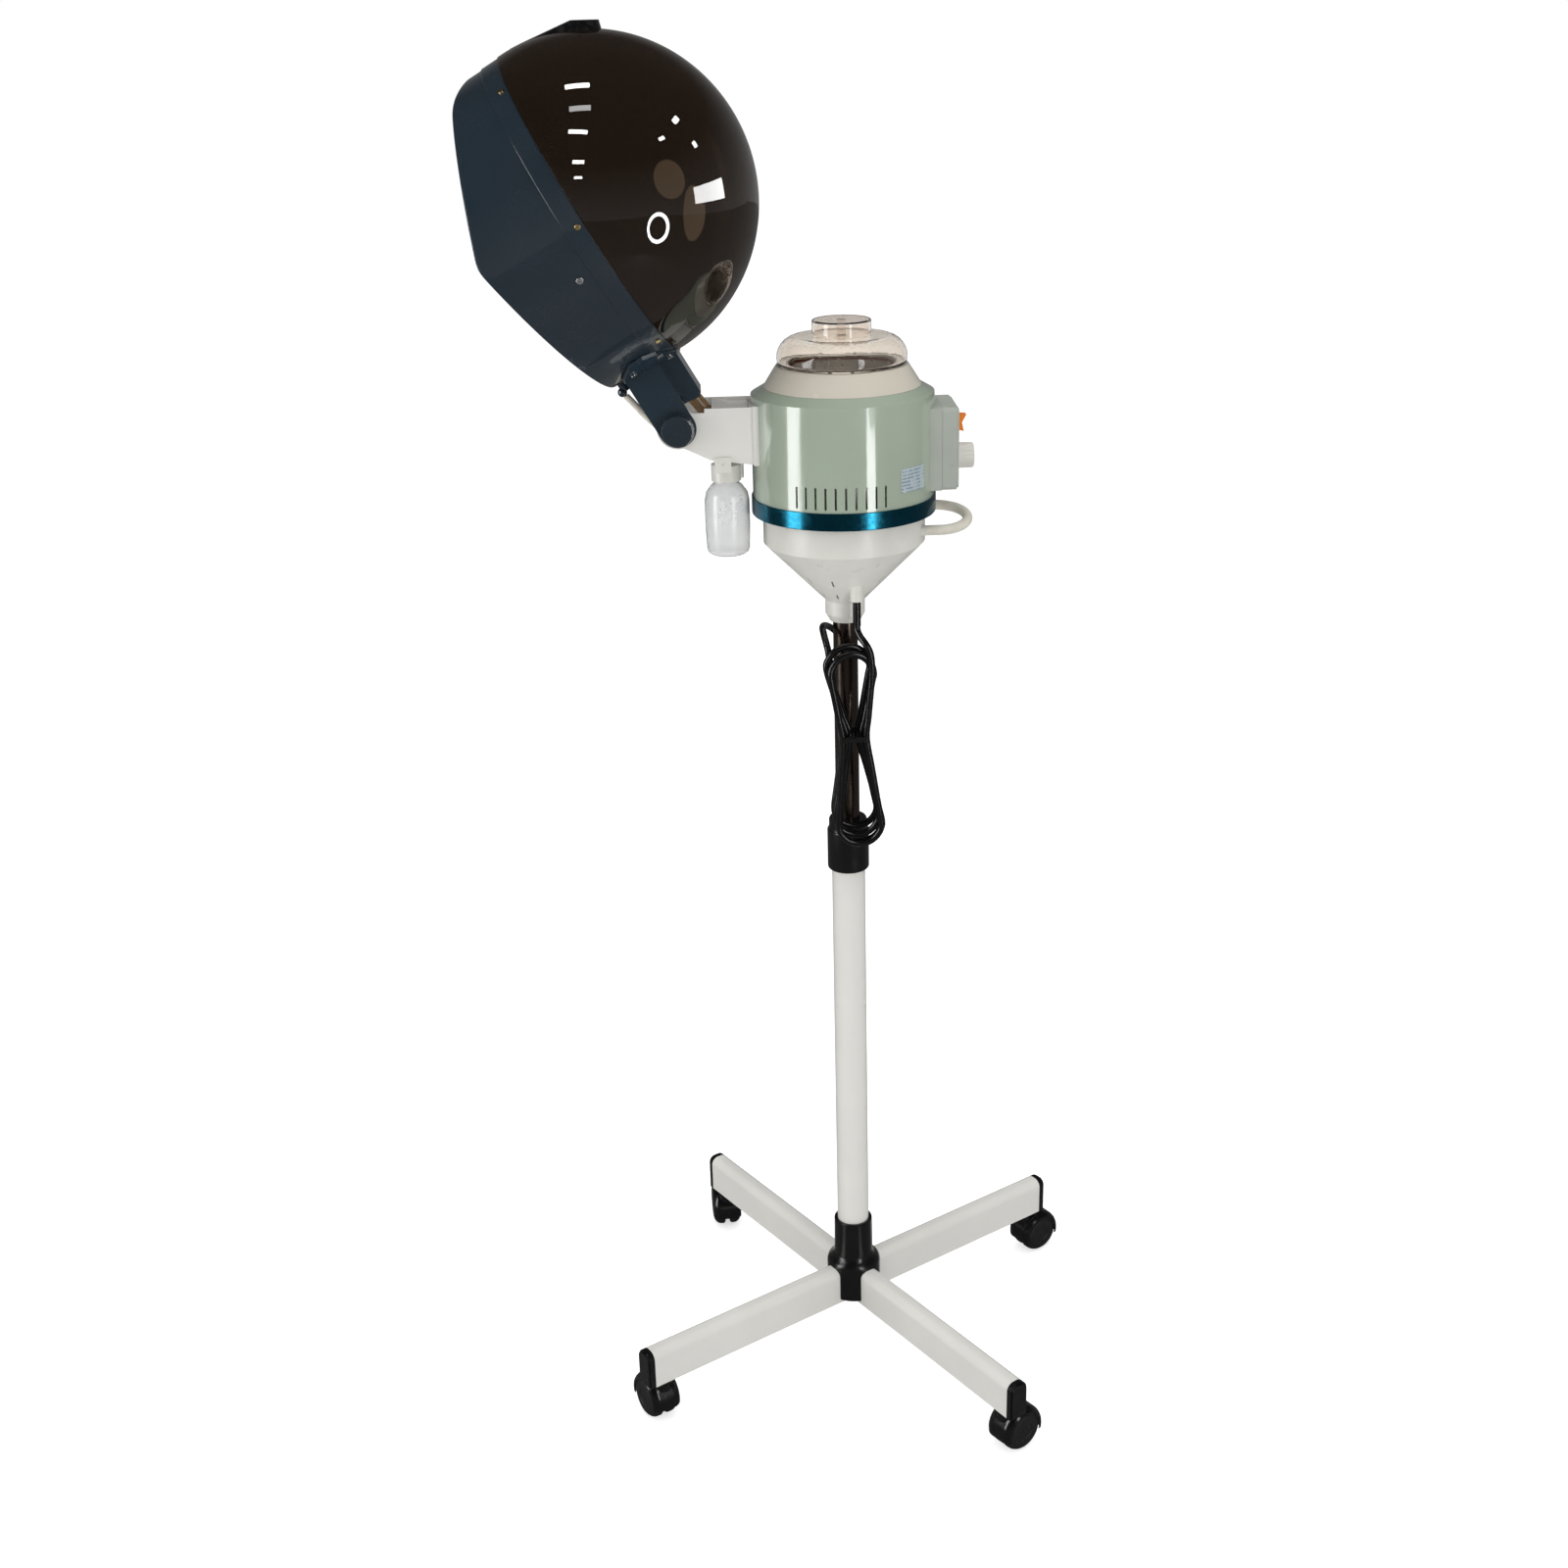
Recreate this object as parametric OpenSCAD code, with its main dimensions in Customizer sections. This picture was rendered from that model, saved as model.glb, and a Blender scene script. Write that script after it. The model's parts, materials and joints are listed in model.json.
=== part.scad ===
// Salon hood hair steamer on a rolling stand.
// Origin: on the floor, on the axis of the column. +Z is up, the hood arm points to -X
// and the control box to +X.

/* [Base] */
// Turn of the four-arm base about the column, degrees
base_turn = 33; // [0:1:89]
// Distance from the column axis to the outer face of an arm's end cap
arm_reach = 284; // [250:1:320]
// Width of a base arm
arm_w = 22; // [20:1:26]
// Height of a base arm's section
arm_h = 43; // [40:1:48]
// Height of the top of the base arms above the floor
arm_top = 96; // [95:1:105]
// Diameter of a caster wheel
wheel_d = 48; // [44:1:49]

/* [Column] */
// Outer diameter of the lower tube
lower_d = 35; // [34:1:38]
// Outer diameter of the upper tube
upper_d = 25; // [22:1:26]
// Height of the top of the twist collar
collar_top = 643; // [560:1:700]
// Length of the upper tube
upper_len = 600; // [560:10:620]
// Height of the underside of the head's neck
neck_z = 858; // [850:1:870]

/* [Head] */
// Radius of the body shell
body_r = 89; // [88:1:90]
// Wall thickness of the moulded housings
wall = 2.5; // [2:0.5:3]
// Number of vent slots in the body shell
vent_count = 10; // [6:1:12]
// Depth of the control box, front to back
box_depth = 72; // [60:1:80]

/* [Hood] */
// Outer radius of the dome
dome_r = 153; // [152:1:156]
// Angle of the hood's axis from the vertical at rest
hood_lean = 60; // [50:1:65]
// Distance from the column axis to the tilt hinge
hinge_x = -160; // [-162:1:-158]
// Height of the tilt hinge
hinge_z = 1062; // [1060:1:1064]

/* [Cord] */
// Diameter of the mains cord
cord_d = 7; // [6:0.5:7]

/* [Hidden] */
$fn = 96;

// Base
arm_bottom = arm_top - arm_h;
arm_wall = 2;
arm_round = 9;
arm_inner_end = 19.5;
cap_visible = 8;
stem_reach = arm_reach - 22;
stem_r = 5;
run_gap = 0.05;
caster_trail = 15;
caster_turns = [32, 95, 119, 36];
hub_r = 30;
hub_bottom = 58;
socket_r = 21.2;
socket_top = 153;
tube_seat_z = 72;
tongue_end = 66;
tongue_top = 86;

// Column
lower_r = lower_d / 2;
lower_bore_r = lower_r - 1.5;
lower_top = collar_top - 51;
upper_r = upper_d / 2;
upper_top = neck_z + 47;
upper_bottom = upper_top - upper_len;

// Head
deck_z = 942;
cone_low = neck_z + 22;
band_top = 971;
band_r = 80;
body_top = 1087;
shoulder_z = 1094;
cone_top = 1114;
rim_bore_r = 54;
outlet_z = 1062;
arm_half = 30;
arm_near_x = -84;
box_x = 93;
box_outer_x = 109.5;
box_z = 994.5;
box_top = 1074.5;
drain_x = 92.5;
drain_half = 30;
drain_tilt = 10.4;
drain_z = 959.5;
drain_r = 5;
timer_z = 1021;
switch_z = 1055;
bottle_x = -115;
bottle_y = -8;

// Hood frame: origin at the middle of the dome's rim, +Z out of the dome, +X to the neck side
hinge_u = 213;
hinge_w = -40;
skirt_r = 151;
skirt_wall = 2.5;
band_step = 1;
dome_wall = 2.5;
dome_lift = 4;
saddle_r = skirt_r + band_step;
plate_in = 30.6;
plate_t = 3;
nozzle_w = -28;

// Cord route points, round numbers in millimetres
cord_r = cord_d / 2;
cord_exit = [9, -36, 887];
cord_angle = atan2(cord_exit[1], cord_exit[0]);
// Angles of the slits round the cone; the cord's boss takes the place of one
slit_angles = [for (k = [1 : 10]) cord_angle + 360 / 11 * k];
lead_points = [
    [9, -36, 861], [9.5, -37, 856], [12, -41, 851], [16, -45.5, 846], [20, -48, 839], [22, -48.5, 830]
];
tail_points = [
    [-19, -27.5, 830], [-20.5, -24, 838], [-22, -18, 844], [-23, -9, 848], [-23, 1, 849.5],
    [-21, 11, 848.5], [-17, 21, 845], [-11, 30, 839], [-5, 37, 831], [-1, 41, 821], [0, 42, 810]
];
hank_front = -52;
hank_back = -24;

// ---------- shared shapes ----------

// A ring or tube between two heights
module ring(outer_r, inner_r, bottom, top) {
    translate([0, 0, bottom]) difference() {
        cylinder(r = outer_r, h = top - bottom);
        translate([0, 0, -1]) cylinder(r = inner_r, h = top - bottom + 2);
    }
}

// A cylinder along X from one x to another
module bar_x(r, x0, x1, y, z) {
    translate([x0, y, z]) rotate([0, 90, 0]) cylinder(r = r, h = x1 - x0);
}

// A cylinder along Y from one y to another
module bar_y(r, x, y0, y1, z) {
    translate([x, y1, z]) rotate([90, 0, 0]) cylinder(r = r, h = y1 - y0);
}

// A rectangle with round corners, centred
module round_rect(w, h, r) {
    square([w - 2 * r, h], center = true);
    square([w, h - 2 * r], center = true);
    for (sx = [-1, 1], sy = [-1, 1])
        translate([sx * (w / 2 - r), sy * (h / 2 - r)]) circle(r);
}

// Extrudes an outline drawn in the XZ plane between two y values
module slab_y(y0, y1) {
    translate([0, y1, 0]) rotate([90, 0, 0]) linear_extrude(y1 - y0) children();
}

// Points of an arc, for outlines
function arc(cx, cy, r, a0, a1, n) = [
    for (i = [0 : n]) [cx + r * cos(a0 + (a1 - a0) * i / n), cy + r * sin(a0 + (a1 - a0) * i / n)]
];

// A tube swept through points: rings of `sides` corners, each square to the path
function unit(v) = v / norm(v);
function heading(p, i) =
    unit(p[min(i + 1, len(p) - 1)] - p[max(i - 1, 0)]);
function side_of(t) = unit(cross(t, abs(t[2]) > 0.9 ? [1, 0.2, 0] : [0, 0, 1]));
function carried(p, i) = i == 0
    ? side_of(heading(p, 0))
    : let (t = heading(p, i), s = carried(p, i - 1)) unit(s - t * (s * t));
function ring_points(p, i, r, sides) =
    let (t = heading(p, i), s = carried(p, i), b = cross(t, s))
    [for (k = [0 : sides - 1]) p[i] + r * (s * cos(360 * k / sides) + b * sin(360 * k / sides))];

module swept_tube(p, r, sides) {
    n = len(p);
    corners = [for (i = [0 : n - 1]) each ring_points(p, i, r, sides)];
    walls = [
        for (i = [0 : n - 2], k = [0 : sides - 1])
            [i * sides + k, i * sides + (k + 1) % sides,
             (i + 1) * sides + (k + 1) % sides, (i + 1) * sides + k]
    ];
    first = [for (k = [0 : sides - 1]) sides - 1 - k];
    last = [for (k = [0 : sides - 1]) (n - 1) * sides + k];
    polyhedron(points = corners, faces = concat([first], walls, [last]));
}

// ---------- base ----------

// Section of a base arm: straight sides and a round top, standing on y = 0
module arm_outline(w, h, r) {
    translate([-w / 2, 0]) square([w, h - r]);
    translate([r - w / 2, h - r]) square([w - 2 * r, r]);
    translate([r - w / 2, h - r]) circle(r);
    translate([w / 2 - r, h - r]) circle(r);
}

// Places a shape on arm i, with +X along the arm
module on_arm(i) {
    rotate([0, 0, base_turn + 90 * i]) children();
}

// A stretch of arm section between two reaches
module arm_bar(x0, x1, z, w, h, r) {
    translate([x0, 0, z]) rotate([90, 0, 90]) linear_extrude(x1 - x0) arm_outline(w, h, r);
}

// The arm: an inverted steel channel, open underneath
module arm_shell() {
    difference() {
        arm_bar(arm_inner_end, arm_reach - cap_visible, arm_bottom, arm_w, arm_h, arm_round);
        arm_bar(arm_inner_end - 1, arm_reach, arm_bottom - 1, arm_w - 2 * arm_wall,
                arm_h + 1 - arm_wall, arm_round - arm_wall);
    }
}

module base_arm(i) {
    color("whitesmoke") on_arm(i) arm_shell();
}

// Hub: flared socket for the tube over a core that fills the four arms' inner ends
module base_hub() {
    color([0.09, 0.09, 0.09]) difference() {
        union() {
            rotate_extrude() polygon([
                [0, hub_bottom], [hub_r, hub_bottom], [hub_r, arm_top + 1], [hub_r - 1.2, arm_top + 5],
                [socket_r + 2.5, arm_top + 10], [socket_r + 0.5, arm_top + 15],
                [socket_r, socket_top - 1], [socket_r - 1, socket_top], [0, socket_top]
            ]);
            for (i = [0 : 3]) on_arm(i)
                translate([arm_inner_end, -arm_w / 2 + arm_wall, hub_bottom])
                    cube([tongue_end - arm_inner_end, arm_w - 2 * arm_wall, tongue_top - hub_bottom]);
        }
        translate([0, 0, tube_seat_z]) cylinder(r = lower_r, h = 200);
        for (i = [0 : 3]) on_arm(i) {
            arm_shell();
            translate([48, 0, 0]) cylinder(r = 2.5, h = 90);
        }
    }
}

module hub_screws() {
    color("silver") for (i = [0 : 3]) on_arm(i) translate([48, 0, 0]) {
        translate([0, 0, 55]) cylinder(r = 5, h = 3);
        translate([0, 0, 57]) cylinder(r = 2.5, h = 37);
    }
}

// End caps: a moulded end with a block inside the arm that holds the caster's stem
module arm_end_caps() {
    color([0.08, 0.08, 0.08]) for (i = [0 : 3]) on_arm(i) difference() {
        union() {
            arm_bar(arm_reach - cap_visible, arm_reach - 2, arm_bottom, arm_w, arm_h, arm_round);
            arm_bar(arm_reach - 2.5, arm_reach, arm_bottom + 1.5, arm_w - 3, arm_h - 3,
                    arm_round - 1.5);
            translate([arm_reach - 34, -arm_w / 2 + arm_wall, arm_bottom])
                cube([30, arm_w - 2 * arm_wall, 31]);
        }
        translate([stem_reach, 0, arm_bottom - 1]) cylinder(r = stem_r + run_gap, h = 31);
    }
}

// Places a caster's pieces under arm i, with +X towards its wheels' axle
module at_caster(i) {
    on_arm(i) translate([stem_reach, 0, 0])
        rotate([0, 0, caster_turns[i] - base_turn - 90 * i]) children();
}

// Half outline of a ball-shaped wheel, in radius and distance along the axle, grown by an amount
function wheel_outline(grow, last) = concat(
    [[wheel_d / 2 + grow, 8]],
    [for (a = [15 : 15 : last]) [13 + (11 + grow) * cos(a), 8 + (9 + grow) * sin(a)]]
);

// Turns an outline about the wheels' axle, on both sides
module about_axle(outline) {
    translate([caster_trail, 0, wheel_d / 2]) rotate([90, 0, 0])
        for (s = [0, 1]) mirror([0, 0, s]) rotate_extrude() polygon(outline);
}

// Yoke: stem, boss and a hood over both wheels, with a web between them for the axle
module caster_yoke(i) {
    axle_z = wheel_d / 2;
    color([0.1, 0.1, 0.1]) at_caster(i) difference() {
        union() {
            cylinder(r = stem_r, h = arm_bottom + 29);
            translate([0, 0, 40]) cylinder(r = 9, h = arm_bottom - 40.5);
            about_axle(concat([[0, 0], [axle_z + 3, 0]], wheel_outline(3, 45), [[0, 16.5]]));
        }
        about_axle(concat([[0, 2.6], [axle_z + 1, 2.6]], wheel_outline(1, 60), [[0, 18]]));
        bar_y(3 + run_gap, caster_trail, -3, 3, axle_z);
        translate([-30, -30, -10]) cube([100, 60, axle_z + 4]);
    }
}

// Twin wheels fixed on their axle
module caster_wheels(i) {
    axle_z = wheel_d / 2;
    color([0.13, 0.13, 0.13]) at_caster(i) {
        about_axle(concat(
            [[2, 3.1], [axle_z - 1.5, 3.1], [axle_z, 4.6]], wheel_outline(0, 90),
            [[9, 17], [8, 16], [2, 16]]
        ));
        bar_y(3, caster_trail, -16.5, 16.5, axle_z);
    }
}

// ---------- column ----------

module lower_tube() {
    color("whitesmoke") ring(lower_r, lower_bore_r, tube_seat_z, lower_top);
}

// Slit collet pressed into the lower tube; the collar squeezes it on the upper tube
module collet_bush() {
    bore = upper_r + run_gap;
    color([0.2, 0.2, 0.2]) difference() {
        rotate_extrude() polygon([
            [bore, lower_top - 36], [lower_bore_r, lower_top - 36], [lower_bore_r, lower_top],
            [lower_r, lower_top], [lower_r, lower_top + 2], [lower_r - 1.1, lower_top + 2],
            [lower_r - 1.1, lower_top + 40], [bore, lower_top + 40]
        ]);
        for (a = [0, 90]) rotate([0, 0, a]) translate([-20, -0.8, lower_top + 12]) cube([40, 1.6, 30]);
    }
}

// Twist-lock collar round the top of the lower tube
module height_collar() {
    low = lower_top - 6;
    color([0.06, 0.06, 0.06]) rotate_extrude() polygon(concat(
        [[lower_r + 0.07, low], [lower_r + 2.5, low]],
        arc(lower_r + 1.8, low + 2.5, 2.5, -60, 0, 4),
        [[lower_r + 4.3, low + 40]],
        arc(lower_r + 1.8, low + 43, 2.5, 10, 55, 4),
        [[lower_r + 2.4, collar_top - 9], [lower_r + 2.4, collar_top - 2], [lower_r + 1.4, collar_top],
         [upper_r + 0.08, collar_top], [upper_r + 0.08, collar_top - 10.6],
         [lower_r - 1.04, collar_top - 10.6], [lower_r - 1.04, lower_top + 2.3],
         [lower_r + 0.07, lower_top + 2.3]]
    ));
}

module upper_tube() {
    color([0.2, 0.17, 0.15]) ring(upper_r, upper_r - 1.5, upper_bottom, upper_top);
}

module guide_bush() {
    color("dimgray") ring(lower_bore_r - run_gap, upper_r, upper_bottom, upper_bottom + 30);
}

// ---------- head ----------

// Steel socket that turns on the upper tube, with the deck that carries the boiler
module column_socket() {
    color("gainsboro") difference() {
        union() {
            translate([0, 0, neck_z]) cylinder(r = 15, h = deck_z + 1 - neck_z);
            translate([0, 0, deck_z]) cylinder(r = band_r - wall, h = 3);
        }
        translate([0, 0, neck_z - 1]) cylinder(r = upper_r + run_gap, h = upper_top - neck_z + 1.3);
        for (a = [45 : 90 : 315]) rotate([0, 0, a])
            translate([66, 0, deck_z - 1]) cylinder(r = 3.2, h = 5);
    }
}

// White lower housing: band, cone and neck
module funnel_housing() {
    slope = atan2(deck_z - 1 - cone_low, band_r - 20);
    color([0.87, 0.86, 0.83]) difference() {
        union() {
            rotate_extrude() polygon([
                [15, neck_z], [15.5, neck_z], [20, neck_z + 8], [20, cone_low],
                [band_r, deck_z - 1], [band_r, band_top], [band_r - wall, band_top],
                [band_r - wall, deck_z], [18.6, cone_low + 2], [15, cone_low + 2]
            ]);
            difference() {
                translate([cord_exit[0], cord_exit[1], cord_exit[2]]) cylinder(r = 6.5, h = 17);
                rotate_extrude() polygon([
                    [0, neck_z], [18.6, cone_low + 2], [band_r - wall, deck_z], [0, deck_z]
                ]);
            }
        }
        translate([cord_exit[0], cord_exit[1], cord_exit[2] - 1]) cylinder(r = 4, h = 22);
        for (a = slit_angles, slit = [[46, 11.5], [28.5, 8.3]]) rotate([0, 0, a])
            translate([slit[0], 0, cone_low + (slit[0] - 20) * tan(slope)]) rotate([0, 90 - slope, 0])
                cube([10, 1.8, slit[1]], center = true);
        for (s = [-1, 1]) bar_x(5.2, 60, 90, s * drain_half, drain_z + s * 5.5);
    }
}

// Blue metal band that clamps the body shell to the funnel
module trim_ring() {
    color([0.1, 0.3, 0.42]) rotate_extrude() polygon([
        [band_r - 1.5, band_top], [body_r + 1.2, band_top], [body_r + 1.6, band_top + 0.4],
        [body_r + 1.6, band_top + 16.6], [body_r + 1.2, band_top + 17], [body_r, band_top + 17],
        [body_r, band_top + 2], [band_r - 1.5, band_top + 2]
    ]);
}

// Painted steel drum with a rolled shoulder, vent slots and holes for steam, drain and wiring
module body_shell() {
    vent_pitch = 6.3;
    color([0.7, 0.75, 0.67]) difference() {
        rotate_extrude() polygon([
            [body_r - 1.2, band_top + 2], [body_r, band_top + 2], [body_r, body_top],
            [77, shoulder_z], [73, shoulder_z], [73, shoulder_z - 1.2], [76.6, shoulder_z - 1.2],
            [body_r - 1.2, body_top - 0.7]
        ]);
        for (k = [0 : vent_count - 1]) rotate([0, 0, -124 + vent_pitch * k])
            translate([body_r, 0, 1001.5]) cube([8, 2, 21], center = true);
        bar_x(6, -body_r - 5, -60, 0, outlet_z);
        bar_x(9, 60, body_r + 5, 0, 1040);
    }
}

// Blank plate where the rating label goes
module rating_label() {
    color("gainsboro") translate([0, 0, 1002]) rotate([0, 0, -56])
        rotate_extrude(angle = 22) translate([body_r, 0]) square([0.4, 23]);
}

// Cream cone between the drum and the tank cover
module top_cone() {
    color([0.84, 0.81, 0.75]) rotate_extrude() polygon([
        [76.5, shoulder_z], [64.8, cone_top - 1.5], [63.5, cone_top], [rim_bore_r, cone_top],
        [rim_bore_r, cone_top - 2.5], [62.3, cone_top - 2.5], [74, shoulder_z]
    ]);
}

// Stainless water pot on a skirt, with a steam port on the left and a drain port on the right
module boiler() {
    pot_r = 58;
    pot_z = 950;
    rim_z = cone_top - 5.5;
    color([0.8, 0.8, 0.82]) difference() {
        rotate_extrude() polygon([
            [0, pot_z], [50, pot_z], [50, deck_z + 3], [52, deck_z + 3], [52, pot_z], [pot_r, pot_z],
            [pot_r, rim_z], [pot_r - 1.5, rim_z], [pot_r - 1.5, pot_z + 1.5], [0, pot_z + 1.5]
        ]);
        bar_x(6, -70, -40, 0, outlet_z);
        for (a = [0, 40]) rotate([0, 0, a]) translate([34, 0, pot_z - 1]) cylinder(r = 4.5, h = 5);
    }
}

// Tubular heating ring with two cold ends through the pot's floor
module heating_element() {
    color([0.45, 0.42, 0.4]) {
        translate([0, 0, 968]) rotate([0, 0, 40]) rotate_extrude(angle = 320)
            translate([34, 0]) circle(4);
        for (a = [0, 40]) rotate([0, 0, a]) translate([34, 0, 946]) cylinder(r = 4.5, h = 26.6);
    }
}

module boiler_gasket() {
    color("firebrick") ring(58, 54.5, cone_top - 5.5, cone_top - 2.5);
}

// Smoked bell that closes the filling opening; it lifts off
module tank_cover() {
    low = cone_top + 0.3;
    color([0.35, 0.32, 0.3, 0.6]) rotate_extrude() polygon(concat(
        [[61.2, low]],
        arc(43, low + 6.7, 20, -15, 88, 8),
        [[29, low + 26.7], [4, low + 26.7], [4, low + 24.7]],
        arc(43, low + 6.7, 17.8, 88, -12, 8),
        [[57.5, low + 2], [51.7, low + 2], [51.7, low - 5], [53.7, low - 5], [53.7, low]]
    ));
}

// Hollow lifting knob with its stud through the bell
module cover_knob() {
    low = cone_top + 27;
    color([0.3, 0.28, 0.26]) {
        rotate_extrude() polygon([
            [26.4, low], [28.4, low], [28.6, low + 1], [28.6, low + 14], [27.6, low + 15],
            [0, low + 15], [0, low + 13], [26.4, low + 13]
        ]);
        translate([0, 0, low - 6]) cylinder(r = 4, h = 20);
        translate([0, 0, low - 6]) cylinder(r = 7, h = 3.7);
    }
}

// Inner half of the control box, shaped to the drum
module control_box() {
    color([0.85, 0.85, 0.81]) difference() {
        translate([72, -box_depth / 2, box_z]) cube([box_x - 72, box_depth, box_top - box_z]);
        translate([0, 0, box_z - 1]) cylinder(r = body_r, h = box_top - box_z + 2);
        translate([91, 3 - box_depth / 2, box_z + 3])
            cube([10, box_depth - 6, box_top - box_z - 6]);
        bar_x(9, 80, box_x, 0, 1040);
    }
}

// Outer cover of the control box, with the openings for the switch and the timer shaft
module control_box_cover() {
    h = box_top - box_z;
    mid = (box_top + box_z) / 2;
    color([0.87, 0.87, 0.83]) difference() {
        union() {
            translate([box_x, 0, mid]) rotate([90, 0, 90]) linear_extrude(box_outer_x - box_x - 2)
                round_rect(box_depth, h, 4);
            translate([box_outer_x - 3, 0, mid]) rotate([90, 0, 90]) linear_extrude(3)
                round_rect(box_depth - 3, h - 3, 4);
        }
        translate([box_x - 1, 0, mid]) rotate([90, 0, 90])
            linear_extrude(box_outer_x - box_x + 1 - wall) round_rect(box_depth - 2 * wall, h - 2 * wall, 2);
        translate([box_x, -5.6, switch_z - 9.5]) cube([30, 11.2, 19]);
        bar_x(3 + run_gap, 100, 120, 0, timer_z);
    }
}

// Rocker switch on a cross pin, drawn in the off position
module power_switch() {
    color([0.9, 0.35, 0.05]) translate([box_outer_x - 1, 0, switch_z]) rotate([0, 8, 0]) difference() {
        slab_y(-5.1, 5.1) polygon([
            [-3, -4], [3, -7.5], [10.5, -8.2], [7.5, 0], [10.5, 8.2], [3, 7.5], [-3, 4]
        ]);
        bar_y(1.2, 0, -6, 6, 0);
    }
}

// Timer knob with a skirt, flutes and its shaft
module timer_knob() {
    face = box_outer_x;
    color([0.83, 0.83, 0.79]) difference() {
        union() {
            bar_x(14, face + 0.4, face + 2.4, 0, timer_z);
            bar_x(12.4, face + 2.2, face + 17, 0, timer_z);
            bar_x(11.4, face + 16.5, face + 18.2, 0, timer_z);
            bar_x(3, face - 12, face + 2, 0, timer_z);
        }
        translate([0, 0, timer_z]) for (k = [0 : 17]) rotate([20 * k, 0, 0])
            bar_x(1.1, face + 4, face + 20, 0, 13);
    }
}

// Silicone drain hose: a flat U between the two barbs
module drain_hose() {
    start_x = band_r - 3.5;
    color([0.88, 0.86, 0.8]) translate([0, 0, drain_z]) rotate([drain_tilt, 0, 0]) {
        translate([drain_x, 0, 0]) rotate([0, 0, -90]) rotate_extrude(angle = 180)
            translate([drain_half, 0]) circle(drain_r);
        for (s = [-1, 1]) bar_x(drain_r, start_x, drain_x, s * drain_half, 0);
    }
}

module hose_barbs() {
    color("tan") for (s = [-1, 1]) bar_x(5.2, 66, band_r - 3.5, s * drain_half, drain_z + s * 5.5);
}

// Side view of the arm: a deep channel that ends in a round about the tilt hinge
module arm_side() {
    translate([hinge_x, hinge_z]) circle(20);
    polygon([
        [arm_near_x, hinge_z - 38], [-130, hinge_z - 31.5], [-143, hinge_z - 25.2],
        [-155, hinge_z - 19.4], [hinge_x, hinge_z], [-150, hinge_z + 14], [-134, hinge_z + 14],
        [-134, hinge_z + 18], [arm_near_x, hinge_z + 18]
    ]);
}

// Arm from the drum to the tilt hinge, open at the top and at the hinge
module arm_channel() {
    color([0.84, 0.82, 0.78]) difference() {
        union() {
            slab_y(-arm_half, arm_half) arm_side();
            translate([-88, -arm_half - 3, hinge_z - 38]) cube([12, 2 * arm_half + 6, 57]);
        }
        slab_y(2 - arm_half, arm_half - 2) polygon([
            [-91, hinge_z - 34], [-129, hinge_z - 28.8], [-146, hinge_z - 25], [-200, hinge_z - 25],
            [-200, hinge_z + 40], [-91, hinge_z + 40]
        ]);
        translate([0, 0, hinge_z - 50]) cylinder(r = body_r, h = 100);
        bar_x(6, -95, -80, 0, outlet_z);
        bar_y(4 + run_gap, hinge_x, -40, 40, hinge_z);
        translate([bottle_x + 14, bottle_y, hinge_z - 45]) cylinder(r = 3.6, h = 20);
    }
}

// Cover plate on the arm with a lip that rises over the hose
module arm_cover() {
    color([0.72, 0.7, 0.66]) slab_y(2 - arm_half, arm_half - 2) polygon([
        [-91, hinge_z + 13], [-111, hinge_z + 13], [-127, hinge_z + 16.5], [-127, hinge_z + 18.3],
        [-111, hinge_z + 14.8], [-91, hinge_z + 14.8]
    ]);
}

// Steam pipe from the boiler through the drum into the arm
module steam_outlet() {
    color("silver") difference() {
        bar_x(6, -104, -54, 0, outlet_z);
        bar_x(4.7, -105, -53, 0, outlet_z);
    }
}

// Amber silicone steam hose from the arm, over the hinge, up the bracket to the nozzle
hose_points = [
    [-104, 0, 1062], [-112, 0, 1062], [-121, 0, 1064], [-129, 0, 1069], [-136, 0, 1077],
    [-143.5, 0, 1086.5], [-151, 0, 1093], [-160, 0, 1099], [-168, 0, 1103.5], [-173, 0, 1108.7],
    [-175.96, 0, 1113.64]
];
module steam_hose() {
    color([0.55, 0.33, 0.14]) swept_tube(hose_points, 7, 12);
}

// Bolt through the arm and the bracket's plates
module hinge_pin() {
    color("silver") {
        bar_y(4, hinge_x, -45, 38, hinge_z);
        bar_y(8, hinge_x, 34.2, 38.5, hinge_z);
    }
}

// Clamping knob of the tilt hinge
module hinge_knob() {
    color([0.13, 0.17, 0.24]) difference() {
        translate([hinge_x, -34.2, hinge_z]) rotate([90, 0, 0]) rotate_extrude() polygon([
            [4 + run_gap, 0], [15.4, 0], [15.9, 0.6], [15.9, 9.5], [14.6, 12.4], [13, 13], [0, 13],
            [0, 11.2], [4 + run_gap, 11.2]
        ]);
        for (k = [0 : 23]) translate([hinge_x, 0, hinge_z]) rotate([0, 15 * k, 0])
            bar_y(0.7, 16.1, -44, -36, 0);
    }
}

// ---------- hood ----------

// The hood's own frame at rest
module hood_frame() {
    translate([hinge_x, 0, hinge_z]) rotate([0, hood_lean, 0])
        translate([-hinge_u, 0, -hinge_w]) children();
}

// Places a shape square to the skirt's wall, +X outward, at an angle from +X and a height
module on_skirt(a, w) {
    rotate([0, 0, a]) translate([0, 0, w]) children();
}

// Side outline of the skirt: two straight cuts that meet at a blunt peak
skirt_outline = concat(
    [[-160, 0]],
    arc(-120, -25.6, 32, 180, 249, 6),
    arc(-12.7, -79.8, 20, 249, 280, 3),
    [[160, -69.3], [160, 0]]
);
// Angles and height of the brass screws through the band
band_screw_angles = [34, 90, 146, 214, 270, 326];
band_screw_w = -6;
elbow_w = -65;

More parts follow.
